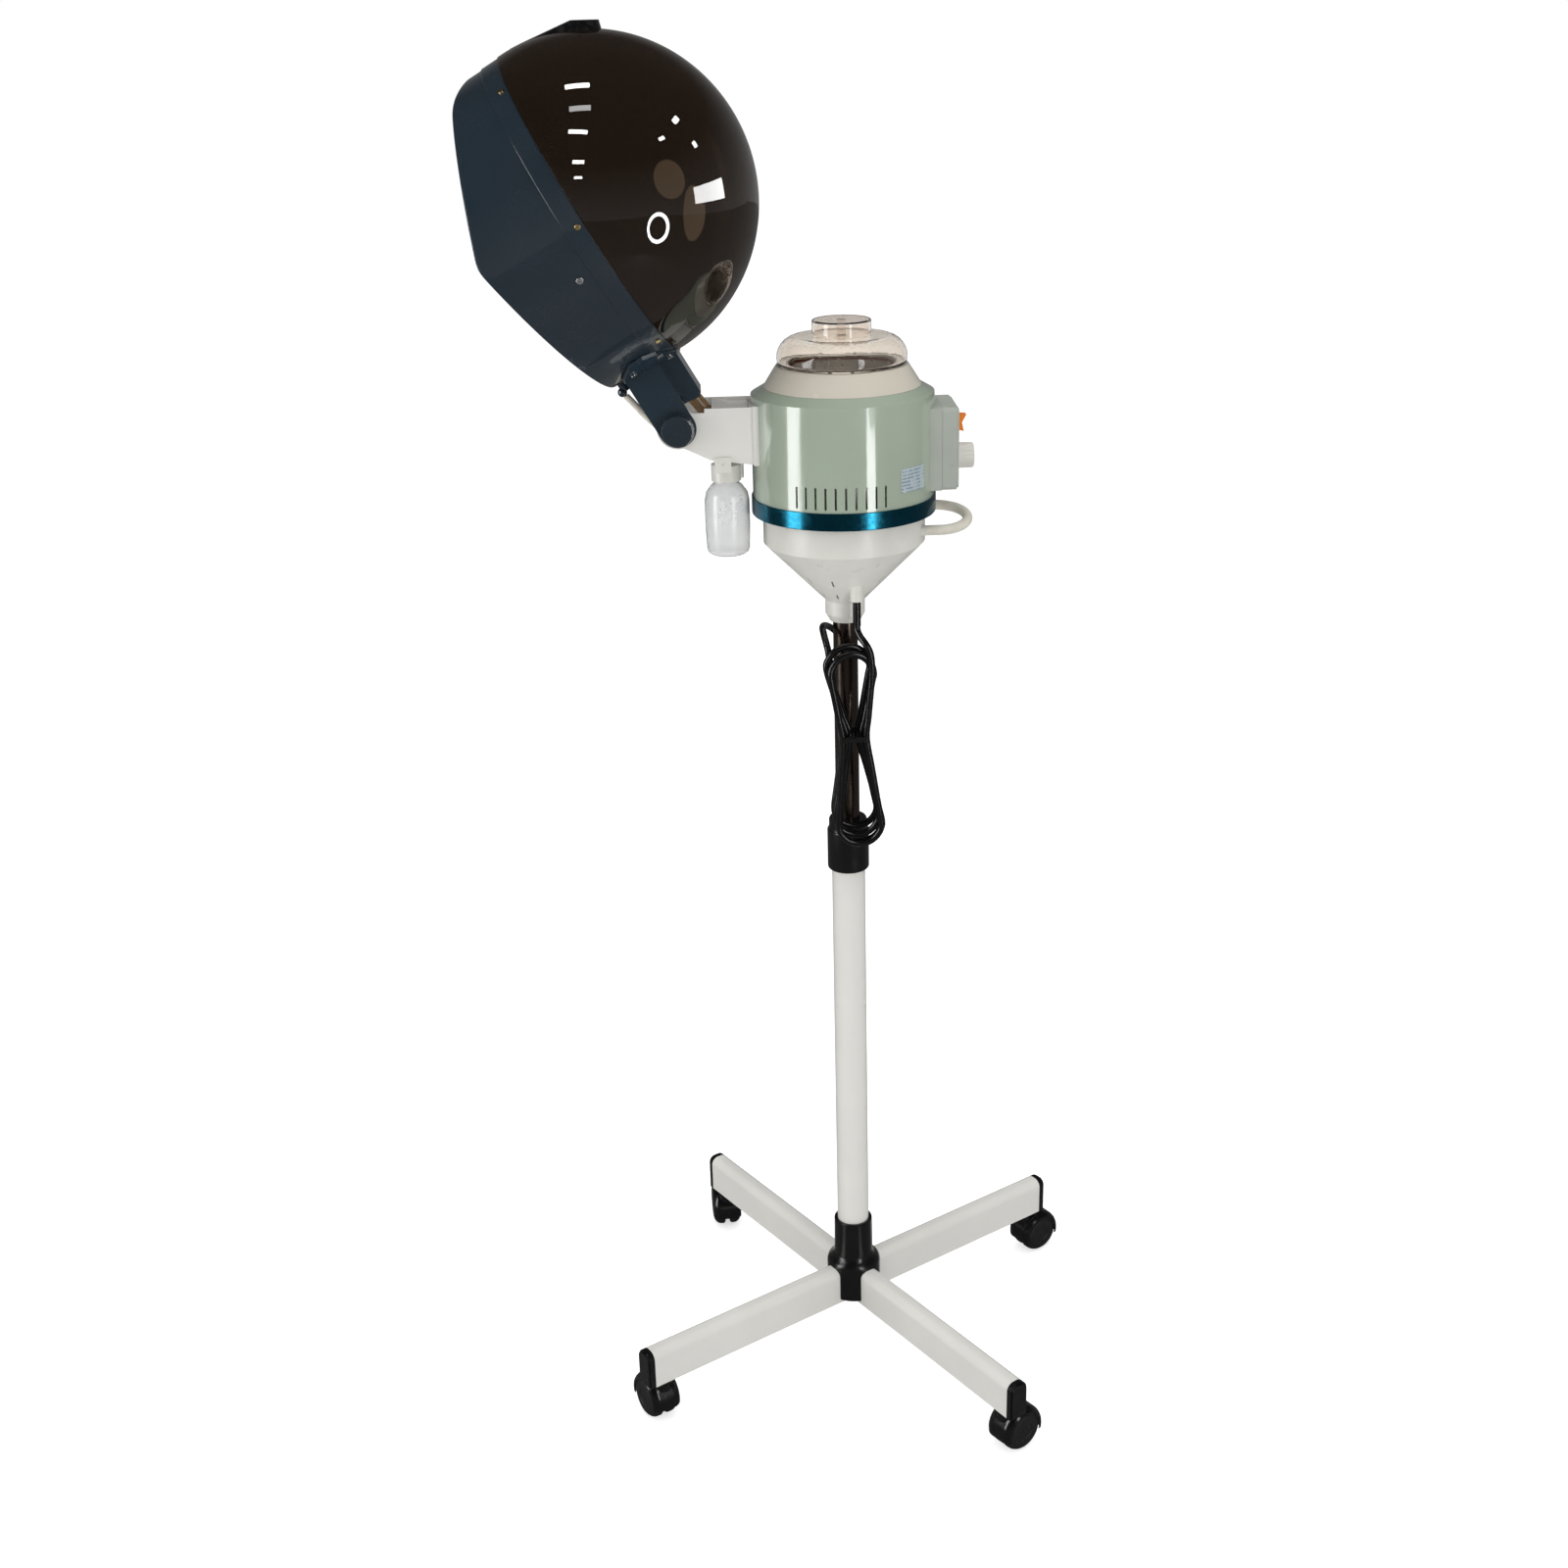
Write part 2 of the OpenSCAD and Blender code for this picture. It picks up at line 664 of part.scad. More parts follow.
// Skirt: a cylinder cut by that outline, with a raised band next to the dome
module hood_skirt() {
    color([0.22, 0.27, 0.33]) difference() {
        intersection() {
            union() {
                ring(skirt_r, skirt_r - skirt_wall, -125, 0);
                ring(skirt_r + band_step, skirt_r - skirt_wall, -18, 0);
            }
            slab_y(-160, 160) polygon(skirt_outline);
        }
        for (a = band_screw_angles) on_skirt(a, band_screw_w) bar_x(1.6, 120, 160, 0, 0);
        bar_x(6, 120, 160, 0, nozzle_w);
        bar_x(3.5, 120, 160, 0, elbow_w);
        for (p = screw_places) on_skirt(p[0], p[1]) bar_x(1.6, 120, 160, 0, 0);
    }
}

// Smoked dome with a spigot inside the skirt's band
module hood_dome() {
    seat_r = sqrt(dome_r * dome_r - dome_lift * dome_lift);
    color([0.16, 0.12, 0.08, 0.8]) difference() {
        union() {
            difference() {
                translate([0, 0, dome_lift]) sphere(dome_r, $fn = 128);
                translate([0, 0, dome_lift]) sphere(dome_r - dome_wall, $fn = 128);
                translate([0, 0, -200]) cylinder(r = 200, h = 200);
            }
            ring(seat_r - 0.2, skirt_r - 5, 0, dome_wall);
            ring(skirt_r - skirt_wall, skirt_r - 5, -16, 1);
        }
        for (a = band_screw_angles) on_skirt(a, band_screw_w) bar_x(1.6, 120, 160, 0, 0);
        for (p = screw_places) if (p[1] > -17) on_skirt(p[0], p[1]) bar_x(1.6, 120, 160, 0, 0);
    }
}

module hood_screws() {
    color([0.8, 0.65, 0.3]) for (a = band_screw_angles) on_skirt(a, band_screw_w) {
        bar_x(1.6, 144, 153, 0, 0);
        bar_x(2.7, skirt_r + band_step, skirt_r + 2.4, 0, 0);
    }
}

// Vent cap on the crown of the dome with a fairing down to the rim
module dome_vent_cap() {
    crown = 151;
    color([0.12, 0.11, 0.1]) difference() {
        hull() {
            translate([0, 0, dome_lift]) rotate([0, -60, 0]) translate([0, 0, crown - 8]) {
                translate([-4, 0, 0]) scale(1) cylinder(r = 19, h = 9, $fn = 32);
                cylinder(r = 13, h = 17, $fn = 32);
            }
            translate([0, 0, dome_lift]) rotate([0, -84, 0]) translate([0, 0, crown - 4])
                cylinder(r = 7, h = 6, $fn = 24);
        }
        translate([0, 0, dome_lift]) sphere(dome_r, $fn = 240);
        translate([-400, -400, -400]) cube([800, 800, 402.6]);
    }
}

// Steam pipe through the skirt with a baffle inside the hood
module steam_nozzle() {
    color("silver") difference() {
        union() {
            bar_x(6, 134, 160, 0, nozzle_w);
            bar_x(13, 131, 134, 0, nozzle_w);
        }
        bar_x(4.5, 133, 161, 0, nozzle_w);
        for (a = [0 : 60 : 300]) translate([0, 0, nozzle_w]) rotate([a, 0, 0])
            bar_x(1.2, 130, 135, 0, 9);
    }
}

// Drain elbow at the lowest point of the skirt
module condensate_elbow() {
    color([0.15, 0.2, 0.24]) {
        bar_x(3.5, 146, 161, 0, elbow_w);
        bar_x(5, skirt_r + 0.2, 155.5, 0, elbow_w);
        translate([160.5, 0, elbow_w - 4.5]) sphere(4.6);
    }
}

// Saddle outline on the skirt's wall, in distance across and height
saddle_outline = [
    [-44, 0], [44, 0], [70, -15], [76, -28], [76, -42], [60, -53], [46, -58], [-46, -58],
    [-60, -53], [-76, -42], [-76, -28], [-70, -15]
];
// Angle round the skirt and height of each chrome screw
screw_places = [
    [24, -14], [-24, -14], [13, -9], [-13, -9], [21, -45], [-21, -45], [-75, -30], [75, -30]
];

// Side plate of the bracket in its side view
module plate_side() {
    translate([hinge_u, hinge_w]) circle(18);
    polygon([
        [147, hinge_w - 18], [hinge_u, hinge_w - 18], [hinge_u, hinge_w + 18], [147, hinge_w + 18]
    ]);
}

// Tilt bracket: saddle on the skirt, two side plates, a web and a raised spine for the hose
module tilt_bracket() {
    web_w = hinge_w + 18;
    outer = plate_in + plate_t;
    color([0.13, 0.19, 0.24]) difference() {
        union() {
            intersection() {
                ring(saddle_r + plate_t, saddle_r, -60, 1);
                translate([120, 0, 0]) rotate([90, 0, 90]) linear_extrude(60)
                    polygon(saddle_outline);
            }
            for (s = [-1, 1]) translate([0, s * (plate_in + plate_t / 2), 0])
                slab_y(-plate_t / 2, plate_t / 2) plate_side();
            difference() {
                translate([148, -outer, web_w - plate_t]) cube([42, 2 * outer, plate_t]);
                translate([100, -9.5, web_w - 10]) cube([120, 19, 20]);
            }
            difference() {
                slab_y(-20, 20) polygon([
                    [148, web_w - 1], [148, -3.5], [197, -3.5], [200, -7], [198, web_w - 1]
                ]);
                slab_y(-18, 18) polygon([[140, web_w - 40], [140, -5.5], [210, -5.5], [210, web_w - 40]]);
            }
        }
        translate([0, 0, -130]) cylinder(r = saddle_r, h = 140);
        bar_y(4 + run_gap, hinge_u, -60, 60, hinge_w);
        bar_x(8, 140, 170, 0, nozzle_w);
        for (p = screw_places) on_skirt(p[0], p[1]) bar_x(1.6, 145, 165, 0, 0);
    }
}

module bracket_screws() {
    color("silver") for (p = screw_places) {
        on_bracket = abs(p[0]) < 30;
        head = on_bracket ? saddle_r + plate_t : skirt_r;
        on_skirt(p[0], p[1]) {
            bar_x(1.6, 147, head + 0.5, 0, 0);
            bar_x(3.2, head, head + 1.8, 0, 0);
        }
    }
}

// ---------- condensate ----------

condensate_points = [
    [-208.5, 0, 1089.2], [-200, 0, 1080], [-192, 0, 1070.8], [-183, 0, 1062], [-174, 0, 1054.5],
    [-164, 0, 1049.5], [-153, 0, 1047], [-141, 0, 1045.5], [-130, -1, 1044.5], [-119, -4, 1043],
    [-109, -7, 1040], [-102.5, -8, 1034], [-101, -8, 1026]
];
module condensate_tube() {
    color([0.88, 0.85, 0.78]) swept_tube(condensate_points, 3.2, 8);
}

// Screw cap of the bottle with its hanger on the arm and the tube's nipple
module bottle_cap() {
    color([0.9, 0.9, 0.88]) difference() {
        union() {
            translate([bottle_x, bottle_y, 1006]) cylinder(r = 14.5, h = 16);
            translate([bottle_x - 11, -32.2, 1018]) cube([16, 28, 4]);
            translate([bottle_x - 11, -32.2, 1018]) cube([16, 2.2, 15]);
            translate([bottle_x + 14, bottle_y, 1008]) cylinder(r = 3.3, h = 18);
        }
        translate([bottle_x, bottle_y, 1005]) cylinder(r = 12.3, h = 13.5);
        bar_y(1.2, bottle_x - 3, -33, -31.4, 1026.5);
    }
}

// Clear bottle that hangs by its neck in the cap
module condensate_bottle() {
    color([0.85, 0.88, 0.86, 0.6]) translate([bottle_x, bottle_y, 0]) rotate_extrude() polygon([
        [0, 934.5], [3, 933.5], [17, 933], [20, 935], [21.2, 939], [22, 960], [22, 986],
        [20.5, 994], [15.5, 1001], [12, 1004], [12, 1017], [10.6, 1017], [10.6, 1003.3],
        [14.6, 1000], [19.2, 993.3], [20.6, 986], [20.6, 960], [19.8, 939.6], [16.8, 934.8],
        [3, 935.2], [0, 936.2]
    ]);
}

// ---------- cord ----------

// Sleeve in the boss, tapering along the first stretch of the cord
module strain_relief() {
    color([0.05, 0.05, 0.05]) translate([cord_exit[0], cord_exit[1], 0]) rotate_extrude() polygon([
        [0, 861], [cord_r + 0.4, 861], [cord_r + 0.5, 870], [4, 886], [4, 897], [0, 897]
    ]);
}

module cord_lead() {
    color([0.05, 0.05, 0.05]) swept_tube(lead_points, cord_r, 10);
}

// The tied hank: two round lobes joined at the tie
module cord_hank() {
    color([0.05, 0.05, 0.05]) slab_y(hank_front, hank_back) polygon(concat(
        arc(1.5, 822, 24.5, -8, 188, 20), [[-9, 747]], arc(9, 654, 24.5, 172, 368, 20), [[20, 747]]
    ));
}

module cord_tie() {
    color([0.1, 0.1, 0.1]) difference() {
        translate([4.5, (hank_front + hank_back) / 2, 744.5]) linear_extrude(5)
            round_rect(31, hank_back - hank_front + 3, 4);
        cord_hank();
    }
}

module cord_tail() {
    color([0.05, 0.05, 0.05]) swept_tube(tail_points, cord_r, 10);
}

// Two-pin contour plug hanging behind the column
module mains_plug() {
    plug_y = 42;
    color([0.07, 0.07, 0.07]) {
        translate([0, plug_y, 768]) linear_extrude(26) round_rect(25, 34, 9);
        translate([0, plug_y, 793]) cylinder(r = 9, h = 7);
        translate([0, plug_y, 799]) cylinder(r = 5.5, h = 11);
        translate([0, plug_y, 765.5]) linear_extrude(3) round_rect(22, 31, 8);
        for (s = [-1, 1]) translate([0, plug_y + s * 9.5, 747]) cylinder(r = 2.4, h = 19);
    }
}

base_hub();
base_arm(0);  // base_arm_back_right
base_arm(1);  // base_arm_back_left
base_arm(2);  // base_arm_front_left
base_arm(3);  // base_arm_front_right
arm_end_caps();
hub_screws();
caster_yoke(0);  // caster_yoke_back_right
caster_yoke(1);  // caster_yoke_back_left
caster_yoke(2);  // caster_yoke_front_left
caster_yoke(3);  // caster_yoke_front_right
caster_wheels(0);  // caster_wheels_back_right
caster_wheels(1);  // caster_wheels_back_left
caster_wheels(2);  // caster_wheels_front_left
caster_wheels(3);  // caster_wheels_front_right
lower_tube();
collet_bush();
height_collar();
upper_tube();
guide_bush();
column_socket();
funnel_housing();
trim_ring();
body_shell();
top_cone();
boiler();
heating_element();
boiler_gasket();
tank_cover();
cover_knob();
control_box();
control_box_cover();
power_switch();
timer_knob();
rating_label();
drain_hose();
hose_barbs();
arm_channel();
arm_cover();
steam_outlet();
steam_hose();
hinge_pin();
hinge_knob();
hood_frame() tilt_bracket();
hood_frame() bracket_screws();
hood_frame() hood_skirt();
hood_frame() hood_dome();
hood_frame() hood_screws();
hood_frame() dome_vent_cap();
hood_frame() steam_nozzle();
hood_frame() condensate_elbow();
condensate_tube();
bottle_cap();
condensate_bottle();
strain_relief();
cord_lead();
cord_hank();
cord_tie();
cord_tail();
mains_plug();
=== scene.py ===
"""Looks for the salon hair steamer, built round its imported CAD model.

Units are metres in the CAD's frame: the column's axis is Z, the hood's arm points to -X
and the control box to +X. Sizes written in millimetres are multiplied by MM.
"""

import json
import math

import bmesh
import bpy
from mathutils import Matrix, Vector

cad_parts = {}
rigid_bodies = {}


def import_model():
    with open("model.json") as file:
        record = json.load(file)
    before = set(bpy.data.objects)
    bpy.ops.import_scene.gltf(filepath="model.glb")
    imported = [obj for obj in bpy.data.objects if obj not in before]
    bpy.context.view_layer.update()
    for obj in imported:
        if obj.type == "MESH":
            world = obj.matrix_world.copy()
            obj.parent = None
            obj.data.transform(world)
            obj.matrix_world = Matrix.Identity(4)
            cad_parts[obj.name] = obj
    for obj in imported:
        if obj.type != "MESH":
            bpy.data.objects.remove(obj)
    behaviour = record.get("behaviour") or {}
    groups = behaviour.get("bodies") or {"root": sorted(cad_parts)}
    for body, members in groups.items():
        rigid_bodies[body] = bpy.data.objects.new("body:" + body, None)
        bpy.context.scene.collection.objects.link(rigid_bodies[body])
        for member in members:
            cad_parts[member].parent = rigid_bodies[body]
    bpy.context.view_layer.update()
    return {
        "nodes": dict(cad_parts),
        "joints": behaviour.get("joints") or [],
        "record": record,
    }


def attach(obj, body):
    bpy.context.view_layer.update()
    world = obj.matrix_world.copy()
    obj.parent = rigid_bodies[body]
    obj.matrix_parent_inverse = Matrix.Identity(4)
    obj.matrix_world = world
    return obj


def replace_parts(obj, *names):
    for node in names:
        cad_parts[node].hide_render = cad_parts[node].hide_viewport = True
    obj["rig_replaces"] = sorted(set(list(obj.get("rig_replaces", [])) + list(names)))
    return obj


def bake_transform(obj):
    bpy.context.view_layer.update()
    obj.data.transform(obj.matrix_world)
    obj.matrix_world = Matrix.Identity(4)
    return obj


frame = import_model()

MM = 0.001
RECORD = frame["record"]
NODES = frame["nodes"]
BODY_OF = {n: b for b, members in RECORD["behaviour"]["bodies"].items() for n in members}
SLOT_OF = {s["node"]: s["material_slot"] for s in RECORD["subparts"]}
JOINTS = {j["name"]: j for j in frame["joints"]}

# Angles in degrees: an edge sharper than these splits the shading of new pieces and of CAD
# copies, and corners turning less than BLUNT stay as they are
SHARP, CAD_SHARP, BLUNT = 35, 32, 12
# Vertices nearer than these, in metres, become one in new pieces and in CAD copies
NEAR, CAD_NEAR = 2e-6, 4e-6
# Neighbouring CAD faces within this angle of each other, in degrees, become one face
FLAT = 0.6
# A direction that no hose or cord starts along
OFF_PATH = (0.13, 0.7, 0.7)


# ---------------------------------------------------------------- camera

CAMERA_AT = Vector((-0.1366, -1.9537, 1.4493))
CAMERA_YAW = 2.07
CAMERA_DOWN = 21.43
CAMERA_ROLL = -1.46
CAMERA_LENS = 46.44
CAMERA_SENSOR = 36
CAMERA_NEAR, CAMERA_FAR = 0.05, 60


def make_camera():
    """The camera, from its place, its turn from +Y towards +X, its dip and its roll."""
    yaw, down, roll = (math.radians(a) for a in (CAMERA_YAW, CAMERA_DOWN, CAMERA_ROLL))
    flat = math.cos(down)
    ahead = Vector((math.sin(yaw) * flat, math.cos(yaw) * flat, -math.sin(down)))
    level = Vector((math.cos(yaw), -math.sin(yaw), 0))
    above = level.cross(ahead)
    right = level * math.cos(roll) + above * math.sin(roll)
    up = above * math.cos(roll) - level * math.sin(roll)
    data = bpy.data.cameras.new("camera")
    data.lens = CAMERA_LENS
    data.sensor_width = CAMERA_SENSOR
    data.clip_start, data.clip_end = CAMERA_NEAR, CAMERA_FAR
    camera = bpy.data.objects.new("camera", data)
    turn = Matrix((right, up, -ahead)).transposed()
    camera.matrix_world = Matrix.Translation(CAMERA_AT) @ turn.to_4x4()
    bpy.context.scene.collection.objects.link(camera)
    bpy.context.scene.camera = camera


make_camera()


# ---------------------------------------------------------------- mesh tools


def new_piece(name, verts, faces):
    """A mesh object from its vertices and faces, with smooth shading."""
    mesh = bpy.data.meshes.new(name)
    mesh.from_pydata([tuple(v) for v in verts], [], faces)
    mesh.validate()
    piece = bpy.data.objects.new(name, mesh)
    bpy.context.scene.collection.objects.link(piece)
    shade(piece)
    return piece


def shade(piece, sharp=SHARP):
    """Smooth shading, split at edges sharper than `sharp` degrees."""
    mesh = piece.data
    mesh.polygons.foreach_set("use_smooth", [True] * len(mesh.polygons))
    mesh.set_sharp_from_angle(angle=math.radians(sharp))
    mesh.update()


def edit(piece, work):
    """Runs work(bm) on the piece's mesh."""
    bm = bmesh.new()
    bm.from_mesh(piece.data)
    work(bm)
    bm.to_mesh(piece.data)
    bm.free()


def clean(bm, near=NEAR):
    """Merges near vertices, drops empty faces and turns the normals outwards."""
    bmesh.ops.remove_doubles(bm, verts=bm.verts, dist=near)
    bmesh.ops.dissolve_degenerate(bm, edges=bm.edges, dist=near)
    bmesh.ops.recalc_face_normals(bm, faces=bm.faces)


def weigh_normals(piece):
    """Keeps flat faces flat beside small rounded edges."""
    weigh = piece.modifiers.new("weigh", "WEIGHTED_NORMAL")
    weigh.keep_sharp = True


def soften(piece, width, segments):
    """Rounds the piece's sharp edges."""
    bevel = piece.modifiers.new("soften", "BEVEL")
    bevel.width = width
    bevel.segments = segments
    bevel.limit_method = "ANGLE"
    bevel.angle_limit = math.radians(CAD_SHARP)
    bevel.use_clamp_overlap = True
    bevel.harden_normals = True


def rounded(points, radius, steps=3):
    """A closed outline with its corners off the axis turned into small arcs."""
    corners = [Vector(p) for p in points]
    result = []
    for i, corner in enumerate(corners):
        back = corners[i - 1] - corner
        ahead = corners[(i + 1) % len(corners)] - corner
        turn = math.degrees(back.angle(-ahead, 0))
        if corner.x < 1e-6 or turn < BLUNT:
            result.append(corner)
            continue
        reach = min(radius, back.length * 0.45, ahead.length * 0.45)
        start = corner + back.normalized() * reach
        end = corner + ahead.normalized() * reach
        for k in range(steps + 1):
            t = k / steps
            result.append(start * (1 - t) ** 2 + corner * 2 * t * (1 - t) + end * t * t)
    return result


def arc(cx, cy, r, first, last, steps):
    """Points of an arc, from one angle to another in degrees."""
    angles = [math.radians(first + (last - first) * i / steps) for i in range(steps + 1)]
    return [(cx + r * math.cos(a), cy + r * math.sin(a)) for a in angles]


def turned(name, place, segments, outline_at, sharp):
    """A closed outline turned about the place's Z axis.

    outline_at(angle) gives it there as (radius, height) in millimetres, always with the same
    number of points.
    """
    into = place @ Matrix.Scale(MM, 4)
    verts, faces = [], []
    for k in range(segments):
        a = 2 * math.pi * k / segments
        outline = outline_at(a)
        verts += [into @ Vector((r * math.cos(a), r * math.sin(a), z)) for r, z in outline]
    n = len(outline)
    for k in range(segments):
        j = (k + 1) % segments
        for i in range(n):
            m = (i + 1) % n
            faces.append((k * n + i, j * n + i, j * n + m, k * n + m))
    piece = new_piece(name, verts, faces)
    edit(piece, clean)
    shade(piece, sharp)
    return piece


def smooth_path(points, per_span):
    """A Catmull-Rom curve through the points."""
    p = list(points)
    p = [p[0] * 2 - p[1]] + p + [p[-1] * 2 - p[-2]]
    path = []
    for i in range(1, len(p) - 2):
        for k in range(per_span):
            t = k / per_span
            a, b, c, d = p[i - 1], p[i], p[i + 1], p[i + 2]
            path.append(
                0.5 * ((2 * b) + (c - a) * t + (2 * a - 5 * b + 4 * c - d) * t * t
                       + (3 * b - a - 3 * c + d) * t ** 3)
            )
    path.append(p[-2])
    return path


def tube(name, path, radius, sides):
    """A closed tube along a path."""
    n = len(path)
    verts, faces = [], []
    ahead = (path[1] - path[0]).normalized()
    side = ahead.cross(Vector(OFF_PATH)).normalized()
    for i, at in enumerate(path):
        ahead = (path[min(i + 1, n - 1)] - path[max(i - 1, 0)]).normalized()
        side = (side - ahead * side.dot(ahead)).normalized()
        other = ahead.cross(side)
        for k in range(sides):
            a = 2 * math.pi * k / sides
            verts.append(at + (side * math.cos(a) + other * math.sin(a)) * radius)
    for i in range(n - 1):
        for k in range(sides):
            m = (k + 1) % sides
            faces.append((i * sides + k, i * sides + m, (i + 1) * sides + m, (i + 1) * sides + k))
    faces.append(tuple(reversed(range(sides))))
    faces.append(tuple((n - 1) * sides + k for k in range(sides)))
    return new_piece(name, verts, faces)


# ---------------------------------------------------------------- materials


class Look:
    """A procedural material: a Principled shader whose colour, roughness and bump vary."""

    def __init__(self, name, color, roughness=0.4, metallic=0.0, **sockets):
        self.material = bpy.data.materials.new(name)
        self.material.use_nodes = True
        self.tree = self.material.node_tree
        self.shader = self.tree.nodes["Principled BSDF"]
        self.color = self.paint = color
        self.roughness = roughness
        self.bumps = []
        self.set("Base Color", (*color, 1))
        self.set("Roughness", roughness)
        self.set("Metallic", metallic)
        for socket, value in sockets.items():
            self.set(socket.replace("_", " "), value)
        self.coordinates = self.tree.nodes.new("ShaderNodeTexCoord").outputs["Object"]

    def set(self, socket, value):
        self.shader.inputs[socket].default_value = value

    def node(self, kind, inputs=None, **settings):
        made = self.tree.nodes.new("ShaderNode" + kind)
        for key, value in settings.items():
            setattr(made, key, value)
        for key, value in (inputs or {}).items():
            if isinstance(value, bpy.types.NodeSocket):
                self.tree.links.new(value, made.inputs[key])
            else:
                made.inputs[key].default_value = value
        return made

    def math(self, operation, *values):
        return self.node("Math", dict(enumerate(values)), operation=operation).outputs[0]

    def stretched(self, scale):
        return self.node("Mapping", {"Vector": self.coordinates, "Scale": scale}).outputs["Vector"]

    def noise(self, size, detail=3.0, stretch=None):
        """Noise whose features are about `size` metres across."""
        where = self.stretched(stretch) if stretch else self.coordinates
        made = self.node("TexNoise", {"Vector": where, "Scale": 1 / size, "Detail": detail})
        return made.outputs["Fac"]

    def between(self, value, low, high, to_low=0.0, to_high=1.0):
        """The value's way from low to high, as a number from to_low to to_high."""
        made = self.node("MapRange", {
            "Value": value, "From Min": low, "From Max": high, "To Min": to_low, "To Max": to_high})
        return made.outputs["Result"]

    def mix(self, share, first, second):
        """The second colour over the first; each of the three is a number or a socket."""
        made = self.node("Mix", data_type="RGBA")
        for socket, value in ((0, share), (6, first), (7, second)):
            if isinstance(value, bpy.types.NodeSocket):
                self.tree.links.new(value, made.inputs[socket])
            elif socket:
                made.inputs[socket].default_value = (*value[:3], 1)
            else:
                made.inputs[socket].default_value = value
        return made.outputs[2]

    def tone(self, size, amount):
        """Cloudy change of colour, darker and lighter by `amount`."""
        dark = tuple(c * (1 - amount) for c in self.color)
        light = tuple(min(1, c * (1 + amount)) for c in self.color)
        share = self.between(self.noise(size, 4), 0.35, 0.65)
        self.paint = self.mix(share, dark, light)
        self.tree.links.new(self.paint, self.shader.inputs["Base Color"])
        return self

    def over(self, share, color):
        """Paints another colour over the tone where share is 1."""
        self.paint = self.mix(share, self.paint, color)
        self.tree.links.new(self.paint, self.shader.inputs["Base Color"])
        return self

    def specks(self, size, amount, color):
        """Fine specks, as dust or grain."""
        return self.over(self.between(self.noise(size, 1), 0.72, 0.78, 0, amount), color)

    def worn(self, color, amount):
        """Edges rubbed to another colour."""
        edge = self.node("NewGeometry").outputs["Pointiness"]
        share = self.between(edge, 0.53, 0.6, 0, amount)
        patches = self.between(self.noise(0.006), 0.4, 0.6)
        return self.over(self.math("MULTIPLY", share, patches), color)

    def sheen_marks(self, size, amount, stretch=None):
        """Patches of smoother and rougher surface: wiping marks and handling."""
        low, high = self.roughness * (1 - amount), self.roughness * (1 + amount)
        value = self.between(self.noise(size, 5, stretch), 0.3, 0.7, low, high)
        self.tree.links.new(value, self.shader.inputs["Roughness"])
        return self

    def bump(self, size, height, detail=2.0, stretch=None):
        """Relief of about `height` metres. Several calls add up."""
        inputs = {"Height": self.noise(size, detail, stretch), "Strength": 1.0, "Distance": height}
        if self.bumps:
            inputs["Normal"] = self.bumps[-1].outputs["Normal"]
        self.bumps.append(self.node("Bump", inputs))
        self.tree.links.new(self.bumps[-1].outputs["Normal"], self.shader.inputs["Normal"])
        return self


def enamel(name, color, roughness=0.22, coat=0.6):
    """Sprayed and baked paint: orange peel, faint clouding, a clear gloss."""
    look = Look(name, color, roughness, Coat_Weight=coat, Coat_Roughness=0.06)
    look.tone(0.09, 0.025).specks(0.0011, 0.12, tuple(c * 0.6 for c in color))
    look.sheen_marks(0.05, 0.25).bump(0.004, 0.00003, 1.5)
    return look


def moulded(name, color, roughness=0.35, grain=0.00002, amount=0.06):
    """Injection moulded plastic: fine grain and patches of sheen."""
    look = Look(name, color, roughness)
    look.tone(0.03, amount).sheen_marks(0.02, 0.3).bump(0.0007, grain, 2)
    return look


def metal(name, color, roughness=0.25, stretch=(1, 1, 1), grain=0.00001, amount=0.08, shine=1.0):
    """Drawn or turned metal with its grain along the stretch."""
    look = Look(name, color, roughness, shine)
    look.tone(0.02, amount).sheen_marks(0.004, 0.35, stretch).bump(0.0006, grain, 2, stretch)
    return look


def soft_rubber(name, color, roughness=0.5, **sockets):
    """Silicone or cable sheath with a fine even grain."""
    look = Look(name, color, roughness, **sockets)
    look.tone(0.015, 0.08).sheen_marks(0.01, 0.2).bump(0.0012, 0.00003, 3)
    return look


def slate_plastic():
    """Glossy lacquered plastic of the hood's skirt and hinge."""
    look = Look("slate_plastic", (0.014, 0.025, 0.036), 0.26, Coat_Weight=0.9,
                Coat_Roughness=0.05)
    look.tone(0.08, 0.06).sheen_marks(0.05, 0.2).bump(0.0012, 0.000003, 2)
    return look


def acrylic(name, color, roughness=0.03, transmission=1.0, coat=0.0):
    """Clear or smoked plastic with faint wiping marks."""
    look = Look(name, color, roughness, Transmission_Weight=transmission, IOR=1.49,
                Coat_Weight=coat, Coat_Roughness=0.02)
    look.tone(0.06, 0.05).sheen_marks(0.03, 0.4).bump(0.004, 0.000004, 2)
    return look


def print_lines(look, pitch, color):
    """Rows of small broken bars, which stand for print and spell nothing."""
    height = look.node("SeparateXYZ", {"Vector": look.coordinates}).outputs["Z"]
    row = look.math("FRACT", look.math("DIVIDE", height, pitch))
    bar = look.math("GREATER_THAN", row, 0.5)
    gaps = look.between(look.noise(0.0022, 1, (1, 1, 0.2)), 0.46, 0.52, 0, 0.75)
    return look.over(look.math("MULTIPLY", bar, gaps), color)


